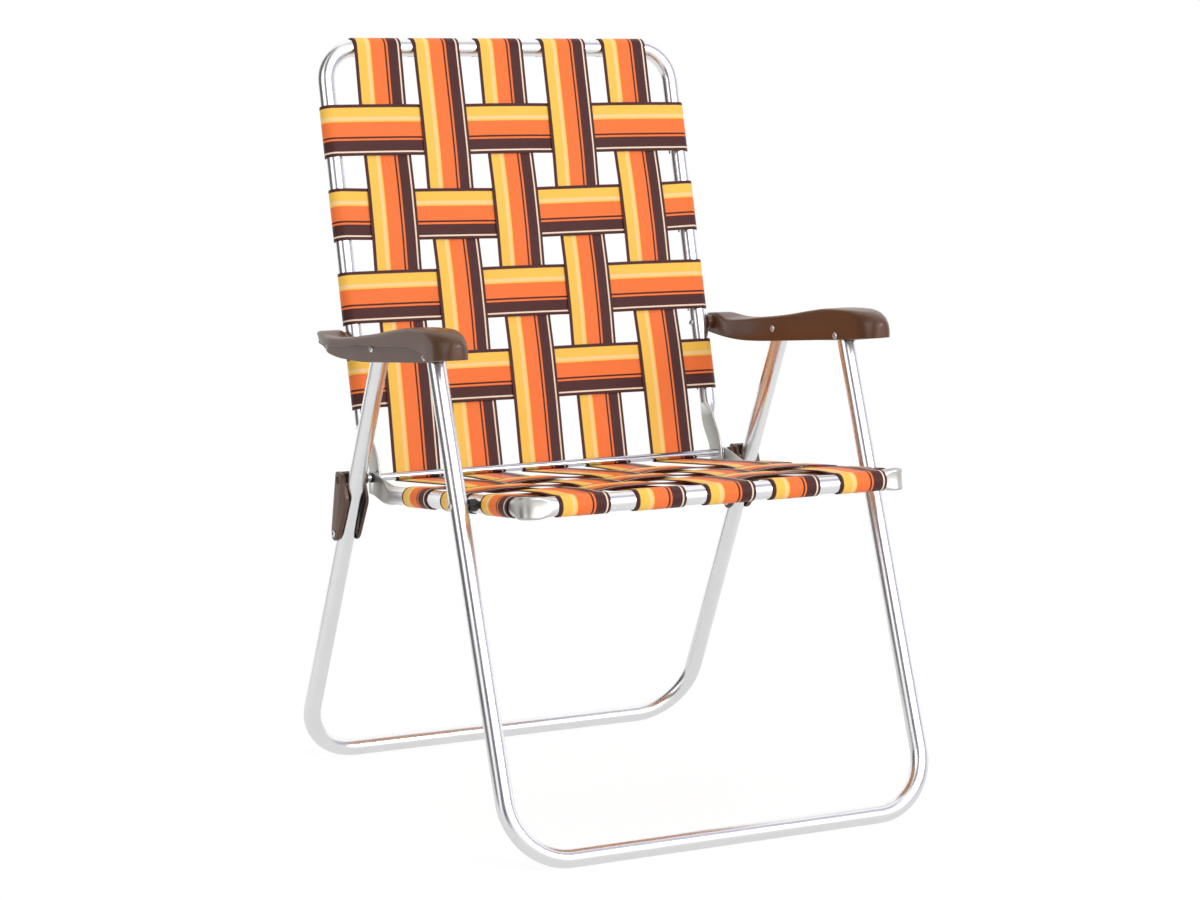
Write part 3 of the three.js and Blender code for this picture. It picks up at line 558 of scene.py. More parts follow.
seat_front = seat_pivot - seat_back * SEAT_FRONT
places = seat_front + seat_line[:, 1:] * seat_back + lift[:, None] * seat_up
bent_tube("seat_frame", "seat", np.column_stack([across, places]), seat_up,
          [(seat_pivot, RIVET_HOLE), (axle, ROD_HOLE)], flat, pinched, pressed)

# Back frame: an upside-down U of the same tube, its two ends squeezed flat inside the seat's and kinked
# forward to the hinge rod.
BACK_RECLINE = math.radians(14.84)
BACK_UP = 475.5 * mm
BACK_BEND = 39 * mm
BACK_ROUNDS = (44 * mm, 60 * mm)
BACK_KINK = (10 * mm, 44 * mm)

back_way = np.array([math.sin(BACK_RECLINE), math.cos(BACK_RECLINE)])
back_front = np.array([-back_way[1], back_way[0]])
setback = (axle - back_arm_pivot) @ back_front
back_foot = axle - setback * back_front
limb = np.concatenate([
    np.linspace(BACK_BEND, BACK_UP - BACK_ROUNDS[1], 30)[1:],
    np.linspace(BACK_UP - BACK_ROUNDS[1], BACK_UP + TAB_END, 40)[1:],
])
back_line = u_line(SEAT_HALF, BACK_BEND, limb)
back_kink = setback + TAB_MARGIN - tab_half_width
across, lift, flat = tabbed(back_line, BACK_UP, BACK_ROUNDS, -TAB_GAP, back_kink, BACK_KINK)
places = back_foot + (BACK_UP - back_line[:, 1:]) * back_way + lift[:, None] * back_front
bent_tube("back_frame", "back", np.column_stack([across, places]), back_front,
          [(back_arm_pivot, RIVET_HOLE), (axle, ROD_HOLE)], flat, pressed=flat)

# Hinge: one bright steel rod through the tabs of seat and back, with a steel washer between the tabs, a black
# plastic ring outside them and a black plastic cap at each end, sunk in the link's hole.
CAP_SUNK = 0.5 * mm
CAP_T = 1.4 * mm
CAP_RIM = 0.4 * mm
ROD_RIM = 0.6 * mm
RING_RIM = 0.6 * mm
WASHER_RIM = 0.3 * mm
ROD_METAL = (0.64, 0.63, 0.68, 1)
BLACK = srgb(34, 32, 31)
# Painted shade: the near-black colour that plastic is given where shade falls in hollows and between parts.
PAINTED_SHADE = (0.006, 0.004, 0.004, 1)
PLASTIC_CLOUDS, PLASTIC_GRAINS = 28.0, 1600.0
WORN_TONE = 1.18
SHADE_ROUGH, CLOUD_ROUGH, GRAIN_ROUGH = 0.4, 0.16, 0.08


def bead(x0, x1, radius, edge):
    """Profile of a short round bar whose rims are quarter circles."""
    turn = np.linspace(0, np.pi / 2, 6)
    rim = np.column_stack([edge * (1 - np.cos(turn)), radius - edge + edge * np.sin(turn)])
    return np.concatenate([rim + (x0, 0), (rim * (-1, 1) + (x1, 0))[::-1]])


def round_pair(node, edge, hole_r, finish, body, radius=None):
    """The left and right of a bored round sleeve, sized from the CAD node unless a radius is given."""
    for hand in ("left", "right"):
        low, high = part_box(f"{node}_{hand}")
        skin = bead(low.x, high.x, radius or (high.z - low.z) / 2, edge)
        hole = [[high.x, hole_r], [low.x, hole_r]]
        grid = turned(np.concatenate([skin, hole]), side((low + high) / 2))
        solid(f"{node}_{hand}_turned", grid, finish, body, [f"{node}_{hand}"], ring=True)


def moulded(name, colour, roughness, grain):
    """Moulded plastic: a fine grain in its skin, a cloudy gloss and a slight drift of its colour. Its second
    tone is painted shade: its colour goes to near black where shade falls in a hollow or between parts."""
    plastic, shader, face = new_finish(name)
    space = face.node("ShaderNodeTexCoord", {}, {}, "Object")
    cloud = face.node("ShaderNodeTexNoise", {}, {"Vector": space, "Scale": PLASTIC_CLOUDS, "Detail": 3.0})
    skin = face.node("ShaderNodeTexNoise", {}, {"Vector": space, "Scale": PLASTIC_GRAINS, "Detail": 2.0})
    hollow = face.node("ShaderNodeAttribute", {"attribute_name": "second_tone"}, {}, "Fac")
    worn = cloud.between(colour, tuple(WORN_TONE * part for part in colour[:3]) + (1,))
    # The second tone's share paints shade: the colour goes toward near black.
    hollow.between(worn, PAINTED_SHADE).into(shader, "Base Color")
    gloss = roughness + hollow * SHADE_ROUGH + (cloud - 0.5) * CLOUD_ROUGH + (skin - 0.5) * GRAIN_ROUGH
    gloss.into(shader, "Roughness")
    bump = face.node("ShaderNodeBump", {}, {"Strength": 0.4, "Distance": grain, "Height": skin})
    bump.into(shader, "Normal")
    return plastic


rod_metal = bright_metal("bright_rod", ROD_METAL, roughness=0.12, line_depth=0.01 * mm)
black_plastic = moulded("black_plastic", BLACK, roughness=0.5, grain=0.03 * mm)
cap_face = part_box("link_plate_outer_right")[1].x - CAP_SUNK
rod_end = cap_face - CAP_T
grid = turned(bead(-rod_end, rod_end, ROD_R, ROD_RIM), axle)
solid("hinge_rod_bar", grid, rod_metal, "seat", ["hinge_rod"])
round_pair("hinge_washer", WASHER_RIM, ROD_HOLE, rod_metal, "seat")
round_pair("rod_ring", RING_RIM, ROD_HOLE, black_plastic, "seat")
for hand, ends in (("left", (-cap_face, -rod_end)), ("right", (rod_end, cap_face))):
    grid = turned(bead(*ends, ROD_R, CAP_RIM), axle)
    solid(f"rod_cap_{hand}_turned", grid, black_plastic, "seat", [f"rod_cap_{hand}"])

# Links: a pair of brown plastic plates beside each rear leg, turning on the hinge rod's ends and riveted to
# the leg below. Each is kite-shaped and moulded hollow towards the leg. A bridge joins the pair above the
# rod, and a sleeve and a collar on the rod turn with them.
BROWN = srgb(84, 54, 36)
PLATE_LOW_R = 7.4 * mm
PLATE_HIGH_R = 8 * mm
PLATE_HIGH_AHEAD = 6.4 * mm
SHOULDER_OUT = 12.4 * mm
SHOULDER_UP = 48 * mm
PLATE_ROUNDS = np.array([12, 4, 3, 7, 12]) * mm
PLATE_EDGE = 0.9 * mm
INNER_TRIM = 2 * mm
HOLLOW = 0.6
HOLLOW_RIM = 1.5 * mm
# Painted shade in each plate's hollow, as shares of near black: the hollow's floor, then its rim.
HOLLOW_SHADE = (1, 0.6)
SLEEVE_R = ROD_R + 0.18 * mm
SLEEVE_HOLE = ROD_R + 0.06 * mm
SLEEVE_RIM = 0.05 * mm
# A thin sleeve over the rod between a pair's plates; most of its colour is painted shade for the shadow
# there.
SLEEVE_SHADE = 0.8
COLLAR_R = 5.8 * mm
COLLAR_T = 5.4 * mm
# Painted shade on the collar between plate and leg: its share of near black.
COLLAR_SHADE = 0.2
BRIDGE = np.array([(8, -4), (8, 2), (4.8, 2), (4.8, -4)]) * mm
BRIDGE_GAP = 0.05 * mm
# Painted shade on the bridge behind the leg: its share of near black.
BRIDGE_SHADE = 0.4
RIVET_METAL = (0.78, 0.78, 0.79, 1)
RIVET_HEAD_R = 3.8 * mm
RIVET_HEAD_T = 2 * mm
RIVET_RIM_START = 0.55
RIVET_PIT_R = 1.6 * mm
RIVET_PIT = (0.6 * mm, 2.8 * mm)


def rounded(corners, radii, steps=7):
    """Outlines with their corners rounded: each corner gives way to a parabola that starts and ends a radius
    from it along its two edges. corners is (rows, corners, 2); two corners share most of a short edge in
    proportion to their radii."""
    most = 0.96
    before = np.roll(corners, 1, axis=1) - corners
    after = np.roll(corners, -1, axis=1) - corners
    share_in = most * radii / (radii + np.roll(radii, 1, axis=-1))
    share_out = most * radii / (radii + np.roll(radii, -1, axis=-1))
    reach_in = np.minimum(radii, share_in * np.linalg.norm(before, axis=-1))[..., None]
    reach_out = np.minimum(radii, share_out * np.linalg.norm(after, axis=-1))[..., None]
    start = (corners + unit(before) * reach_in)[:, :, None]
    stop = (corners + unit(after) * reach_out)[:, :, None]
    way = np.linspace(0, 1, steps)[:, None]
    curve = (1 - way) ** 2 * start + 2 * way * (1 - way) * corners[:, :, None] + way ** 2 * stop
    return curve.reshape(len(corners), -1, 2)


def rivet(node, x0, x1, pivot, heads, body):
    """A hollow-ended rivet with a rolled head at one or both ends: a blind hole, a rim that is part of a
    quarter ellipse, then the shank."""
    turn = np.linspace(RIVET_RIM_START, np.pi / 2, 7)
    pit = [(depth, RIVET_PIT_R) for depth in RIVET_PIT[::-1]]
    rim = np.column_stack([RIVET_HEAD_T * (1 - np.cos(turn)), RIVET_HEAD_R * np.sin(turn)])
    head = np.concatenate([pit, rim, [(RIVET_HEAD_T, RIVET_R)]])
    plain = np.array([[0, RIVET_R]])
    near = (head if heads[0] else plain) + (x0, 0)
    far = (head if heads[1] else plain) * (-1, 1) + (x1, 0)
    grid = turned(np.concatenate([near, far[::-1]]), pivot)
    solid(node + "_round", grid, rivet_metal, body, [node])


brown_plastic = moulded("brown_plastic", BROWN, roughness=0.33, grain=0.03 * mm)
rivet_metal = bright_metal("rivet_metal", RIVET_METAL, roughness=0.34, line_depth=0.01 * mm)
rear_foot = np.array([foot_rest["rear_foot_bar"], TUBE_R])
leg_way = unit(rear_arm_pivot - rear_foot)
leg_ahead = np.array([-leg_way[1], leg_way[0]])
link_way = unit(axle - link_pivot)
link_ahead = np.array([-link_way[1], link_way[0]])
shoulder = link_pivot + leg_way * SHOULDER_UP + leg_ahead * SHOULDER_OUT
plate_corners = np.array([
    link_pivot - link_way * PLATE_LOW_R - link_ahead * PLATE_LOW_R,
    axle + link_way * PLATE_HIGH_R - link_ahead * PLATE_HIGH_R,
    axle + link_way * PLATE_HIGH_R + link_ahead * PLATE_HIGH_AHEAD,
    shoulder,
    link_pivot - link_way * PLATE_LOW_R + link_ahead * PLATE_LOW_R,
])
outline = rounded(plate_corners[None], PLATE_ROUNDS, 9)[0]
outline_way = unit(np.roll(outline, -1, axis=0) - np.roll(outline, 1, axis=0))
outline_in = np.column_stack([-outline_way[:, 1], outline_way[:, 0]])
outline_in *= np.sign(np.sum((outline.mean(0) - outline) * outline_in, axis=1))[:, None]
turn = np.linspace(0, np.pi / 2, 5)
edge_in, edge_over = PLATE_EDGE * (1 - np.cos(turn)), PLATE_EDGE * (1 - np.sin(turn))
inset = np.concatenate([[HOLLOW_RIM, HOLLOW_RIM], edge_over, edge_over[::-1]])
hollow_shade = np.concatenate([HOLLOW_SHADE, np.zeros(2 * len(turn))])


def link_plate(place, hand):
    """One plate and its rivet: rings of the outline from the hollow's floor out over its rim, on the leg's
    side, then across to the far face, set in by a quarter circle at both edges. An inner plate's far face is
    trimmed."""
    node = f"link_plate_{place}_{hand}"
    low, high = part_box(node)
    away = 1 if (place == "inner") == (hand == "left") else -1
    trim = INNER_TRIM if place == "inner" else 0
    thick = high.x - low.x - trim
    depth = np.concatenate([[HOLLOW * thick, 0], edge_in, thick - edge_in[::-1]])
    x = (low.x if away > 0 else high.x) + away * depth
    skin = outline + inset[:, None, None] * outline_in
    grid = np.concatenate([np.broadcast_to(x[:, None, None], skin.shape[:2] + (1,)), skin], -1)
    holes = [bore(axle, ROD_HOLE), bore(link_pivot, RIVET_HOLE)]
    # The tone paints shade into the hollow on the leg's side.
    solid(node + "_moulding", grid, brown_plastic, "links", [node], cuts=holes, tone=hollow_shade)
    node = f"link_rivet_{place}_{hand}"
    low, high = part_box(node)
    ends = (low.x, high.x - trim) if away > 0 else (low.x + trim, high.x)
    rivet(node, *ends, link_pivot, (away < 0, away > 0), "links")


def from_middle(node):
    """A CAD node's least and greatest distance from the chair's middle plane."""
    return sorted(abs(corner.x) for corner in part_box(node))


def link_sleeve(name, reach, sign, radius, painted_shade):
    """A thin ring on the rod that turns with its link, between two distances from the middle plane. Its
    colour goes toward near black by a share of painted shade.
    """
    ends = np.sort(sign * reach)
    hole = [(end, SLEEVE_HOLE) for end in ends[::-1]]
    skin = np.concatenate([bead(*ends, radius, SLEEVE_RIM), hole])
    tone = np.full(len(skin), painted_shade)
    solid(name, turned(skin, axle), brown_plastic, "links", [], ring=True, tone=tone)


for place in ("inner", "outer"):
    for hand in ("left", "right"):
        link_plate(place, hand)
bridge = np.array([axle + up * link_way + out * link_ahead for up, out in BRIDGE])
for hand, sign in (("left", -1), ("right", 1)):
    inner_near, inner_far = from_middle(f"link_plate_inner_{hand}")
    outer_near = from_middle(f"link_plate_outer_{hand}")[0]
    between = np.array([inner_far + BRIDGE_GAP, outer_near - BRIDGE_GAP])
    grid = np.stack([np.column_stack([np.full(len(bridge), sign * x), bridge]) for x in between])
    # The bridge's tone is painted shade.
    tone = np.full(len(grid), BRIDGE_SHADE)
    solid(f"link_bridge_{hand}", grid, brown_plastic, "links", [], tone=tone)
    link_sleeve(f"rod_sleeve_{hand}", between, sign, SLEEVE_R, SLEEVE_SHADE)
    collar_face = inner_near + INNER_TRIM
    collar = np.array([collar_face - COLLAR_T, collar_face])
    link_sleeve(f"rod_collar_{hand}", collar, sign, COLLAR_R, COLLAR_SHADE)

# Seat to front legs: a moulded black sleeve between rail and leg on each side, and a rivet through all three.
# The rivet's two heads hold leg and rail together and let the leg turn.
SPACER_RIM = 0.8 * mm

round_pair("leg_spacer", SPACER_RIM, RIVET_R, black_plastic, "seat")
for hand in ("left", "right"):
    low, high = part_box(f"seat_leg_rivet_{hand}")
    rivet(f"seat_leg_rivet_{hand}", low.x, high.x, seat_pivot, (True, True), "seat")

# Webbing: striped straps of woven plastic yarn in plain weave. Five long ones run from the back's top bar
# down behind the hinge rod to the seat's front bar; four cross the back and three cross the seat. Each end
# wraps its tube and is held by a screw on a washer.
WEB_WIDTH = 57.15 * mm
WEB_T = 1.1 * mm
WEB_GAP = 0.25 * mm
WEB_TUCK = 52
WRAP_POINTS = 25
WEB_STEP = 4 * mm
BACK_WEAVE, SEAT_WEAVE = 1 * mm, 2 * mm
LEVEL_HALF = 0.3 * WEB_WIDTH
LONG_WEBS = 5
BACK_ROWS = np.array([104.5, 196.7, 288.9, 381.1]) * mm
SEAT_ROWS = np.array([-38.2, 52.8, 143.8]) * mm
BACK_BOWS = np.array([0, 0, -3.6, 0]) * mm
LONG_AT_TOP = np.array([-155.6, -84.2, -4.8, 76.2, 154.4]) * mm
LONG_AT_HINGE = np.array([-164.6, -88.4, -10.4, 69.6, 156.6]) * mm
LONG_AT_FRONT = np.array([-158.9, -72.2, 9.3, 86.8, 168.9]) * mm
# Stripes from one edge to the other: each has its width in mm and its yarn.
STRIPES = [
    (3.7, "brown"), (10.4, "yellow"), (3.8, "cream"), (1.8, "yellow"), (16.4, "orange"),
    (2.0, "dark"), (2.2, "orange"), (11.9, "brown"), (1.7, "pale"), (3.25, "brown"),
]
YARN = {
    "brown": srgb(75, 35, 34), "yellow": srgb(252, 199, 84), "cream": srgb(252, 211, 148),
    "orange": srgb(249, 121, 57), "dark": srgb(62, 20, 14), "pale": srgb(250, 226, 200),
}
STRIPE_SOFT = 0.25 * mm
RIBS = 1 / (1.15 * mm)
PICKS = 1 / (1.9 * mm)
PICK_SHARE = 0.35
RIB_DEPTH = 0.16 * mm
# Painted shade in the grooves between ribs: the share of the colour taken away there.
RIB_SHADE = 0.12
WEB_ROUGH, FADE_ROUGH, PICK_ROUGH = 0.44, 0.2, 0.05
WEB_SHINE = 0.25
FADES = 22.0
SCREW_AT = 2
SCREW = np.array([(0, 3.8), (0.5, 3.7), (0.5, 2.9), (1.3, 2.6), (1.7, 1.6)]) * mm


def woven_web():
    """Woven plastic yarn: lengthwise stripes, each rib a rounded yarn crossed by finer picks."""
    cloth, shader, face = new_finish("striped_webbing")
    map_at = face.node("ShaderNodeTexCoord", {}, {}, "UV")
    space = face.node("ShaderNodeTexCoord", {}, {}, "Object")
    across = face.node("ShaderNodeSeparateXYZ", {}, {0: map_at}, "X")
    along = face.node("ShaderNodeSeparateXYZ", {}, {0: map_at}, "Y")
    stops = []
    edge = 0.0
    for width, yarn in STRIPES:
        stops.append(((edge + STRIPE_SOFT) / WEB_WIDTH, YARN[yarn]))
        edge += width * mm
        stops.append(((edge - STRIPE_SOFT) / WEB_WIDTH, YARN[yarn]))
    colour = face.node("ShaderNodeValToRGB", {"stops": stops}, {0: across / WEB_WIDTH})
    fade = face.node("ShaderNodeTexNoise", {}, {"Vector": space, "Scale": FADES, "Detail": 3.0})
    rib = face.math("ABSOLUTE", face.math("SINE", across * (math.pi * RIBS)))
    pick = face.math("SINE", along * (2 * math.pi * PICKS)) * 0.5 + 0.5
    # Painted shade: the colour darkens in the grooves between the ribs.
    groove = (1 - RIB_SHADE) + rib * RIB_SHADE
    grey = face.node("ShaderNodeCombineColor", {}, {0: groove, 1: groove, 2: groove})
    tint = face.node("ShaderNodeMix", {"data_type": "RGBA", "blend_type": "MULTIPLY"}, {
        0: 1.0, 6: colour, 7: grey}, 2)
    tint.into(shader, "Base Color")
    (WEB_ROUGH + (fade - 0.5) * FADE_ROUGH + pick * PICK_ROUGH).into(shader, "Roughness")
    shader.inputs["Specular IOR Level"].default_value = WEB_SHINE
    height = rib + pick * PICK_SHARE
    bump = face.node("ShaderNodeBump", {}, {"Strength": 0.8, "Distance": RIB_DEPTH, "Height": height})
    bump.into(shader, "Normal")
    return cloth


web_finish = woven_web()
web_bend = TUBE_R + WEB_GAP + WEB_T / 2
hinge_bend = ROD_R + WEB_GAP + WEB_T / 2


def arc(centre, radius, start, stop, count):
    """Points round a circle from one angle, in degrees, to another."""
    angle = np.radians(np.linspace(start, stop, count))
    return np.array(centre) + radius * np.column_stack([np.cos(angle), np.sin(angle)])


def wrap_on(at):
    """A strap's start, round a tube from the tucked end to the tube's top."""
    return arc((at, -web_bend), web_bend, -90 + WEB_TUCK, -270, WRAP_POINTS)


def wrap_off(at):
    """A strap's finish, round a tube from the tube's top to the tucked end."""
    return arc((at, -web_bend), web_bend, 90, -90 - WEB_TUCK, WRAP_POINTS)


def weave_line(start, stop, crossings, heights, first, last):
    """Straight run that is level at its own height over each crossing and eases between them. Its two ends
    take heights of their own."""
    along = np.linspace(start, stop, int(abs(stop - start) / WEB_STEP) + 2)
    knots = np.concatenate([[start], np.repeat(crossings, 2), [stop]])
    level = np.concatenate([[first], np.repeat(heights, 2), [last]])
    knots[1:-1:2] -= LEVEL_HALF
    knots[2:-1:2] += LEVEL_HALF
    place = np.clip(np.searchsorted(knots, along) - 1, 0, len(knots) - 2)
    share = smooth(along, knots[place], knots[place + 1])
    return np.column_stack([along, level[place] + share * (level[place + 1] - level[place])])


def strap(name, line, normal, across, body, nodes):
    """Strap along a line of points: a flat section with half-round edges, its width along across."""
    half, thick = WEB_WIDTH / 2, WEB_T / 2
    edge = half - thick
    turn = np.linspace(-np.pi / 2, np.pi / 2, 5)
    width = np.linspace(-edge, edge, 13)[1:-1]
    section = np.concatenate([
        np.column_stack([width[::-1], np.full_like(width, thick)]),
        np.column_stack([-edge - thick * np.cos(turn[::-1]), thick * np.sin(turn[::-1])]),
        np.column_stack([width, np.full_like(width, -thick)]),
        np.column_stack([edge + thick * np.cos(turn), thick * np.sin(turn)]),
    ])
    grid = line[:, None] + section[:, :1] * across[:, None] + section[:, 1:] * normal[:, None]
    run = run_length(line)
    place = np.concatenate([section[:, 0], section[:1, 0]]) + half
    uv = np.stack(np.meshgrid(place, run), -1)
    piece = solid(name, grid, web_finish, body, nodes, uv=uv)
    return piece


def web_screw(name, line, normal, across, at, body):
    """A pan-head screw on a washer that holds a strap's end, turned about the strap's normal there."""
    angle = np.linspace(0, 2 * np.pi, 20, endpoint=False)
    along = np.cross(normal[at], across[at])
    ring = np.cos(angle)[:, None] * across[at] + np.sin(angle)[:, None] * along
    grid = line[at] + (WEB_T / 2 + SCREW[:, None, :1]) * normal[at] + SCREW[:, None, 1:] * ring
    solid(name, grid, rivet_metal, body, [])


def turn_left(line):
    """Normals to the left of a line in a plane, as seen along it."""
    count = np.arange(len(line))
    way = unit(line[np.minimum(count + 1, len(line) - 1)] - line[np.maximum(count - 1, 0)])
    return np.column_stack([-way[:, 1], way[:, 0]])


def over(row, column):
    """1 where a cross web passes over a long one, else -1."""
    return -1 if (row + column) % 2 == 0 else 1


seat_axle = np.array([axle_behind, axle_over_rail - web_bend])
turn_end = math.degrees(SEAT_TILT - BACK_RECLINE)
for column in range(LONG_WEBS):
    seat_ways = [-over(row, column) * SEAT_WEAVE for row in range(len(SEAT_ROWS))]
    back_ways = [-over(row, column) * BACK_WEAVE for row in range(len(BACK_ROWS))]
    seat_run = weave_line(-SEAT_FRONT, axle_behind, SEAT_ROWS, seat_ways, 0, seat_axle[1] - hinge_bend)
    bend = arc(seat_axle, hinge_bend, -90, turn_end, 13)
    on_seat = np.concatenate([wrap_on(-SEAT_FRONT), seat_run[1:], bend[1:]])
    back_run = weave_line(0, BACK_UP, BACK_ROWS, back_ways, setback - hinge_bend - web_bend, 0)
    on_back = np.concatenate([back_run[1:], wrap_off(BACK_UP)[1:]])
    line = np.concatenate([
        seat_pivot + on_seat[:, :1] * seat_back + (web_bend + on_seat[:, 1:]) * seat_up,
        back_foot + on_back[:, :1] * back_way + (web_bend + on_back[:, 1:]) * back_front,
    ])
    x = np.concatenate([
        np.interp(on_seat[:, 0], [-SEAT_FRONT, axle_behind], [LONG_AT_FRONT[column], LONG_AT_HINGE[column]]),
        np.interp(on_back[:, 0], [0, BACK_UP], [LONG_AT_HINGE[column], LONG_AT_TOP[column]]),
    ])
    normal = np.column_stack([np.zeros(len(line)), turn_left(line)])
    across = np.broadcast_to(np.array([1.0, 0, 0]), normal.shape)
    nodes = [f"back_upright_web_{column + 1}", f"seat_length_web_{column + 1}"]
    line = np.column_stack([x, line])
    piece = strap(f"long_web_{column + 1}", line, normal, across, None, nodes)
    web_screw(f"seat_front_screw_{column + 1}", line, normal, across, SCREW_AT, "seat")
    web_screw(f"back_top_screw_{column + 1}", line, normal, across, -1 - SCREW_AT, "back")
    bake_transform(piece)


def cross_webs(body, rows, bows, weave, ends, long_at, origin, run, face):
    """The straps across one panel, each wrapped round both side tubes and bowed along the panel as a parabola
    of its own depth."""
    for row, at in enumerate(rows):
        share = (at - ends[0]) / (ends[1] - ends[0])
        crossings = long_at[0] + share * (long_at[1] - long_at[0])
        ways = [over(row, column) * weave for column in range(LONG_WEBS)]
        woven = weave_line(-SEAT_HALF, SEAT_HALF, crossings, ways, 0, 0)
        line = np.concatenate([wrap_on(-SEAT_HALF), woven[1:-1], wrap_off(SEAT_HALF)])
        lean = turn_left(line)
        bow = bows[row] * np.clip(1 - (line[:, :1] / SEAT_HALF) ** 2, 0, 1)
        place = origin + (at + bow) * run + (web_bend + line[:, 1:]) * face
        normal = np.column_stack([lean[:, 0], lean[:, 1:] * face])
        across = np.broadcast_to(np.array([0, *-run]), normal.shape)
        name = f"{body}_cross_web_{row + 1}"
        line = np.column_stack([line[:, 0], place])
        strap(name + "_strap", line, normal, across, body, [name])
        web_screw(name + "_screw_left", line, normal, across, SCREW_AT, body)
        web_screw(name + "_screw_right", line, normal, across, -1 - SCREW_AT, body)


cross_webs("back", BACK_ROWS, BACK_BOWS, BACK_WEAVE, (0, BACK_UP), (LONG_AT_HINGE, LONG_AT_TOP),
           back_foot, back_way, back_front)
cross_webs("seat", SEAT_ROWS, 0 * SEAT_ROWS, SEAT_WEAVE, (-SEAT_FRONT, axle_behind),
           (LONG_AT_FRONT, LONG_AT_HINGE), seat_pivot, seat_back, seat_up)

# Armrests: brown plastic mouldings with a cap that overhangs an outer skirt and a channel below for the leg
# tops. A rivet through the skirts holds each leg; a third, with a short bush, holds the back.
ARM_NOSE = 64 * mm
ARM_NOSE_ROUND = 24 * mm
ARM_NOSE_DROP = 26 * mm
ARM_NOSE_WIDE, ARM_NOSE_TALL = 0.2, 0.5
ARM_NOSE_SOFT = 46 * mm
ARM_ROUNDS = np.array([0.8, 0.8, 1, 1.2, 6, 4.5]) * mm
ARM_NOSE_ROUNDS = np.array([0, 0, 0, 0, 16, 17]) * mm
ARM_TAIL = 10 * mm
ARM_TAIL_ROUND = 66 * mm
ARM_TAIL_IN = 13 * mm
ARM_NOTCH = 4 * mm
ARM_NOTCH_RUN = (-24 * mm, -4 * mm)
ARM_CAP_LEAST = 1.2 * mm
ARM_SKIRT_LEAST = 0.3 * mm
ARM_SKIRT = 2.5 * mm
ARM_LEG_GAP = 0.5 * mm
ARM_OVERHANG = 11 * mm
ARM_ROOF_GAP = 0.7 * mm
ARM_FRONT_ROOM = 3 * mm
ARM_BELOW = 40 * mm
ARM_BLOCK = 14 * mm
ARM_BLOCK_LOW = 8 * mm
ARM_STATIONS = 110
BUSH_R = 8 * mm
BUSH_RIM = 0.5 * mm
# Each curve's points are mm ahead of the back's rivet and mm above the line of rivets.
ARM_TOP_INNER = [
    (-10, 10), (9, 10.8), (29, 5.2), (58, 6.5), (100, 11), (134, 14.4),
    (160, 17.6), (180, 20.6), (205, 24.4), (235, 28), (278, 29), (324, 27),
]
ARM_TOP_OUTER = [
    (-10, 9.8), (5, 10.6), (19, 8.9), (33, 7.6), (58, 7.8), (100, 11.2), (134, 14.8),
    (160, 18), (180, 21), (205, 24.8), (235, 28.4), (278, 29.6), (324, 27),
]
ARM_LOW_INNER = [
    (-10, -11.5), (28, -15.7), (64, -17.2), (100, -16),
    (135, -13.7), (203, -8.6), (269, -3.5), (324, 1),
]
ARM_LOW_OUTER = [
    (-10, -3.5), (1, -5.8), (7, -8.6), (41, -14.3), (84, -15.6),
    (114, -15.2), (195, -10), (261, -5.6), (299, -1.6), (324, 1),
]
ARM_CAP_LOW = [
    (-10, 6), (0, 5.2), (10, 0.5), (18, -1.5), (44, -1.6), (87, -0.2), (121, 3.6), (134, 4.3),
    (158, 4.8), (199, 7.5), (240, 9.4), (264, 7.7), (276, 4.3), (284, -1), (289, -4.5),
]


def through(knots):
    """Smooth curve through (place, height) knots: cubic pieces, with slopes from each knot's neighbours."""
    knots = np.array(sorted(knots))
    index = np.arange(len(knots))
    after = knots[np.minimum(index + 1, index[-1])]
    before = knots[np.maximum(index - 1, 0)]
    slopes = (after[:, 1] - before[:, 1]) / (after[:, 0] - before[:, 0])

    def curve(place):
        end = np.clip(np.searchsorted(knots[:, 0], place), 1, index[-1])
        start = end - 1
        run = knots[end, 0] - knots[start, 0]
        way = np.clip((place - knots[start, 0]) / run, 0, 1)
        rise = (knots[end, 1] - knots[start, 1]) * way * way * (3 - 2 * way)
        sway = run * way * (1 - way) * ((1 - way) * slopes[start] - way * slopes[end])
        return knots[start, 1] + rise + sway

    return curve


arm_rivets = {"front": front_arm_pivot, "rear": rear_arm_pivot, "back": back_arm_pivot}
y_front, y_rear, y_back = (pivot[0] for pivot in arm_rivets.values())
nose, tail_end = y_front - ARM_NOSE, y_back + ARM_TAIL
skirt_in = leg_half - TUBE_R - ARM_LEG_GAP - ARM_SKIRT
skirt_out = leg_half + TUBE_R + ARM_LEG_GAP + ARM_SKIRT
cap_out = skirt_out + ARM_OVERHANG
arm_slope = (back_arm_pivot[1] - front_arm_pivot[1]) / (y_back - y_front)


def arm_line(y):
    """Height of the line through the armrest's rivets."""
    return front_arm_pivot[1] + (y - y_front) * arm_slope


def nose_share(run, end, y):
    """Share of the full size where the nose rounds off over a run, as a quarter circle, to its blunt end."""
    return end + (1 - end) * np.sqrt(1 - np.clip((nose + run - y) / run, 0, 1) ** 2)


def arm_channel(sign):
    """The space for the leg tops, open below: an outline in the side view carried across the legs' width."""
    sweep = math.hypot(LEG_STUB, TUBE_R) + ARM_ROOF_GAP
    front, level, rear = y_front - sweep - ARM_FRONT_ROOM, y_rear + sweep, y_back - ARM_BLOCK
    open_end = tail_end + ARM_SKIRT
    floor_z = arm_line(open_end) - ARM_BELOW
    outline = np.array([
        (front, floor_z), (open_end, floor_z), (open_end, arm_line(open_end) - ARM_BLOCK_LOW),
        (rear, arm_line(rear) - ARM_BLOCK_LOW), (rear, arm_line(rear) - ARM_SKIRT),
        (level, arm_line(level) + sweep), (front, arm_line(front) + sweep),
    ])
    across = sign * (leg_half + np.array([-1, 1]) * (TUBE_R + ARM_LEG_GAP))
    return np.stack([np.column_stack([np.full(len(outline), x), outline]) for x in across])


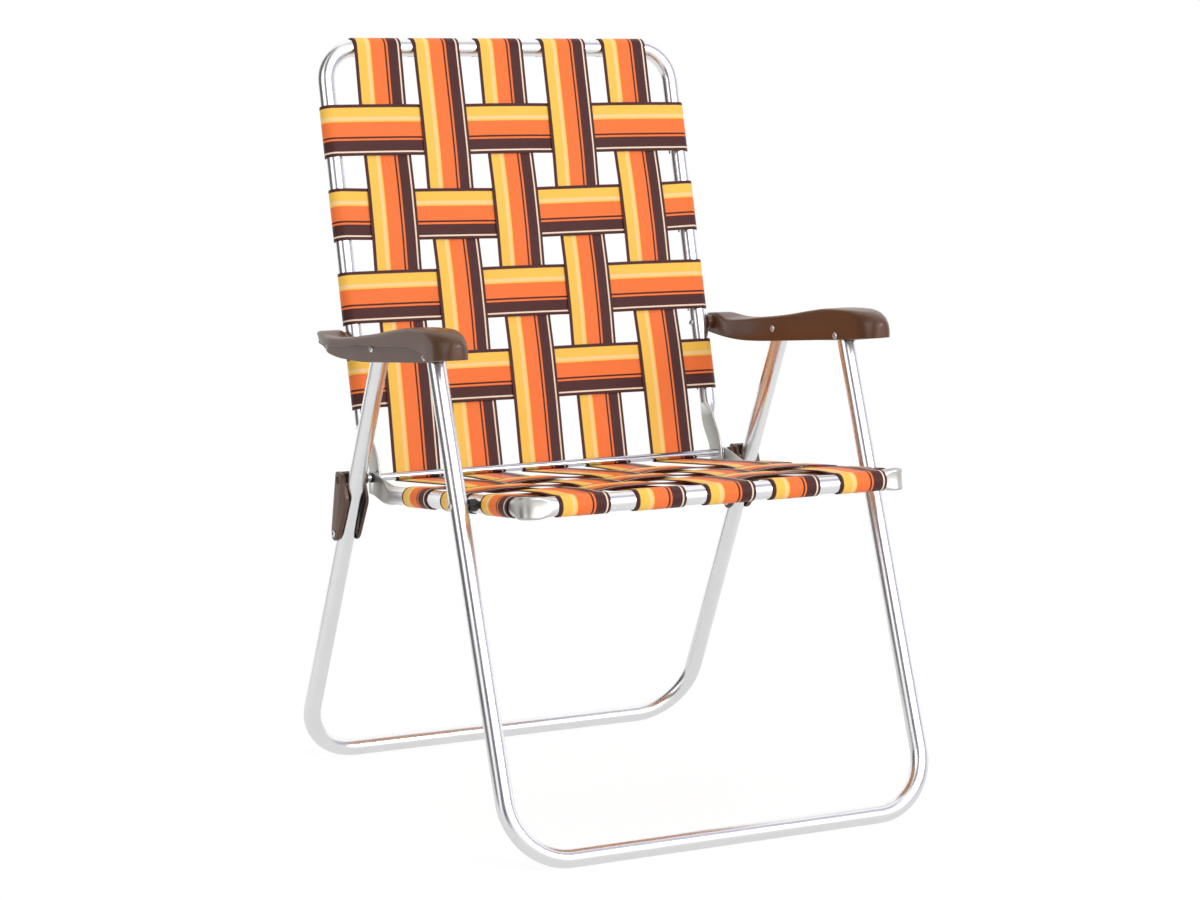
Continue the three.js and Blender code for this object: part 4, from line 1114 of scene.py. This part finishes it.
def armrest(hand):
    """Moulding lofted from nose to tail through sections of six rounded corners, then hollowed by its channel
    and drilled for its three rivets."""
    share = (1 - np.cos(np.linspace(0, np.pi, ARM_STATIONS))) / 2
    y = nose + (tail_end - nose) * share
    shape = [through([(y_back - ahead * mm, height * mm) for ahead, height in knots])(y)
             for knots in (ARM_LOW_INNER, ARM_LOW_OUTER, ARM_CAP_LOW, ARM_TOP_INNER, ARM_TOP_OUTER)]
    low_in, low_out, cap_low, top_in, top_out = shape
    drop = nose_share(ARM_NOSE_DROP, ARM_NOSE_TALL, y)
    top_in = low_in + (top_in - low_in) * drop
    top_out = low_out + (top_out - low_out) * drop
    cap_low = np.maximum(np.minimum(cap_low, top_out - ARM_CAP_LEAST), low_out + ARM_SKIRT_LEAST)
    turn_in = np.clip((y - tail_end) / ARM_TAIL_ROUND + 1, 0, 1)
    outside = cap_out - ARM_TAIL_IN * turn_in ** 2
    skirt = skirt_out - ARM_NOTCH * smooth(y - y_back, *ARM_NOTCH_RUN)
    inside = np.full_like(y, skirt_in)
    across = np.column_stack([inside, skirt, skirt, outside, outside, inside])
    height = np.column_stack([low_in, low_out, cap_low, cap_low, top_out, top_in]) + arm_line(y)[:, None]
    centre = (skirt_in + cap_out) / 2
    across = centre + (across - centre) * nose_share(ARM_NOSE_ROUND, ARM_NOSE_WIDE, y)[:, None]
    blunt = smooth(nose + ARM_NOSE_SOFT - y, 0, ARM_NOSE_SOFT)[:, None]
    section = rounded(np.stack([across, height], -1), ARM_ROUNDS + blunt * ARM_NOSE_ROUNDS)
    sign = 1 if hand == "right" else -1
    station = np.broadcast_to(y[:, None], section.shape[:2])
    grid = np.stack([sign * section[..., 0], station, section[..., 1]], -1)
    cuts = [arm_channel(sign), *(bore(pivot, RIVET_HOLE) for pivot in arm_rivets.values())]
    node = f"armrest_{hand}"
    solid(node + "_moulding", grid, brown_plastic, "arms", [node], cuts=cuts)


for hand in ("left", "right"):
    armrest(hand)
    for place, pivot in arm_rivets.items():
        node = f"arm_{place}_rivet_{hand}"
        low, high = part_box(node)
        sunk = ARM_NOTCH if place == "back" else 0
        ends = (low.x + sunk, high.x) if hand == "left" else (low.x, high.x - sunk)
        rivet(node, *ends, pivot, (True, True), "arms")
round_pair("arm_bush", BUSH_RIM, RIVET_R, brown_plastic, "arms", BUSH_R)
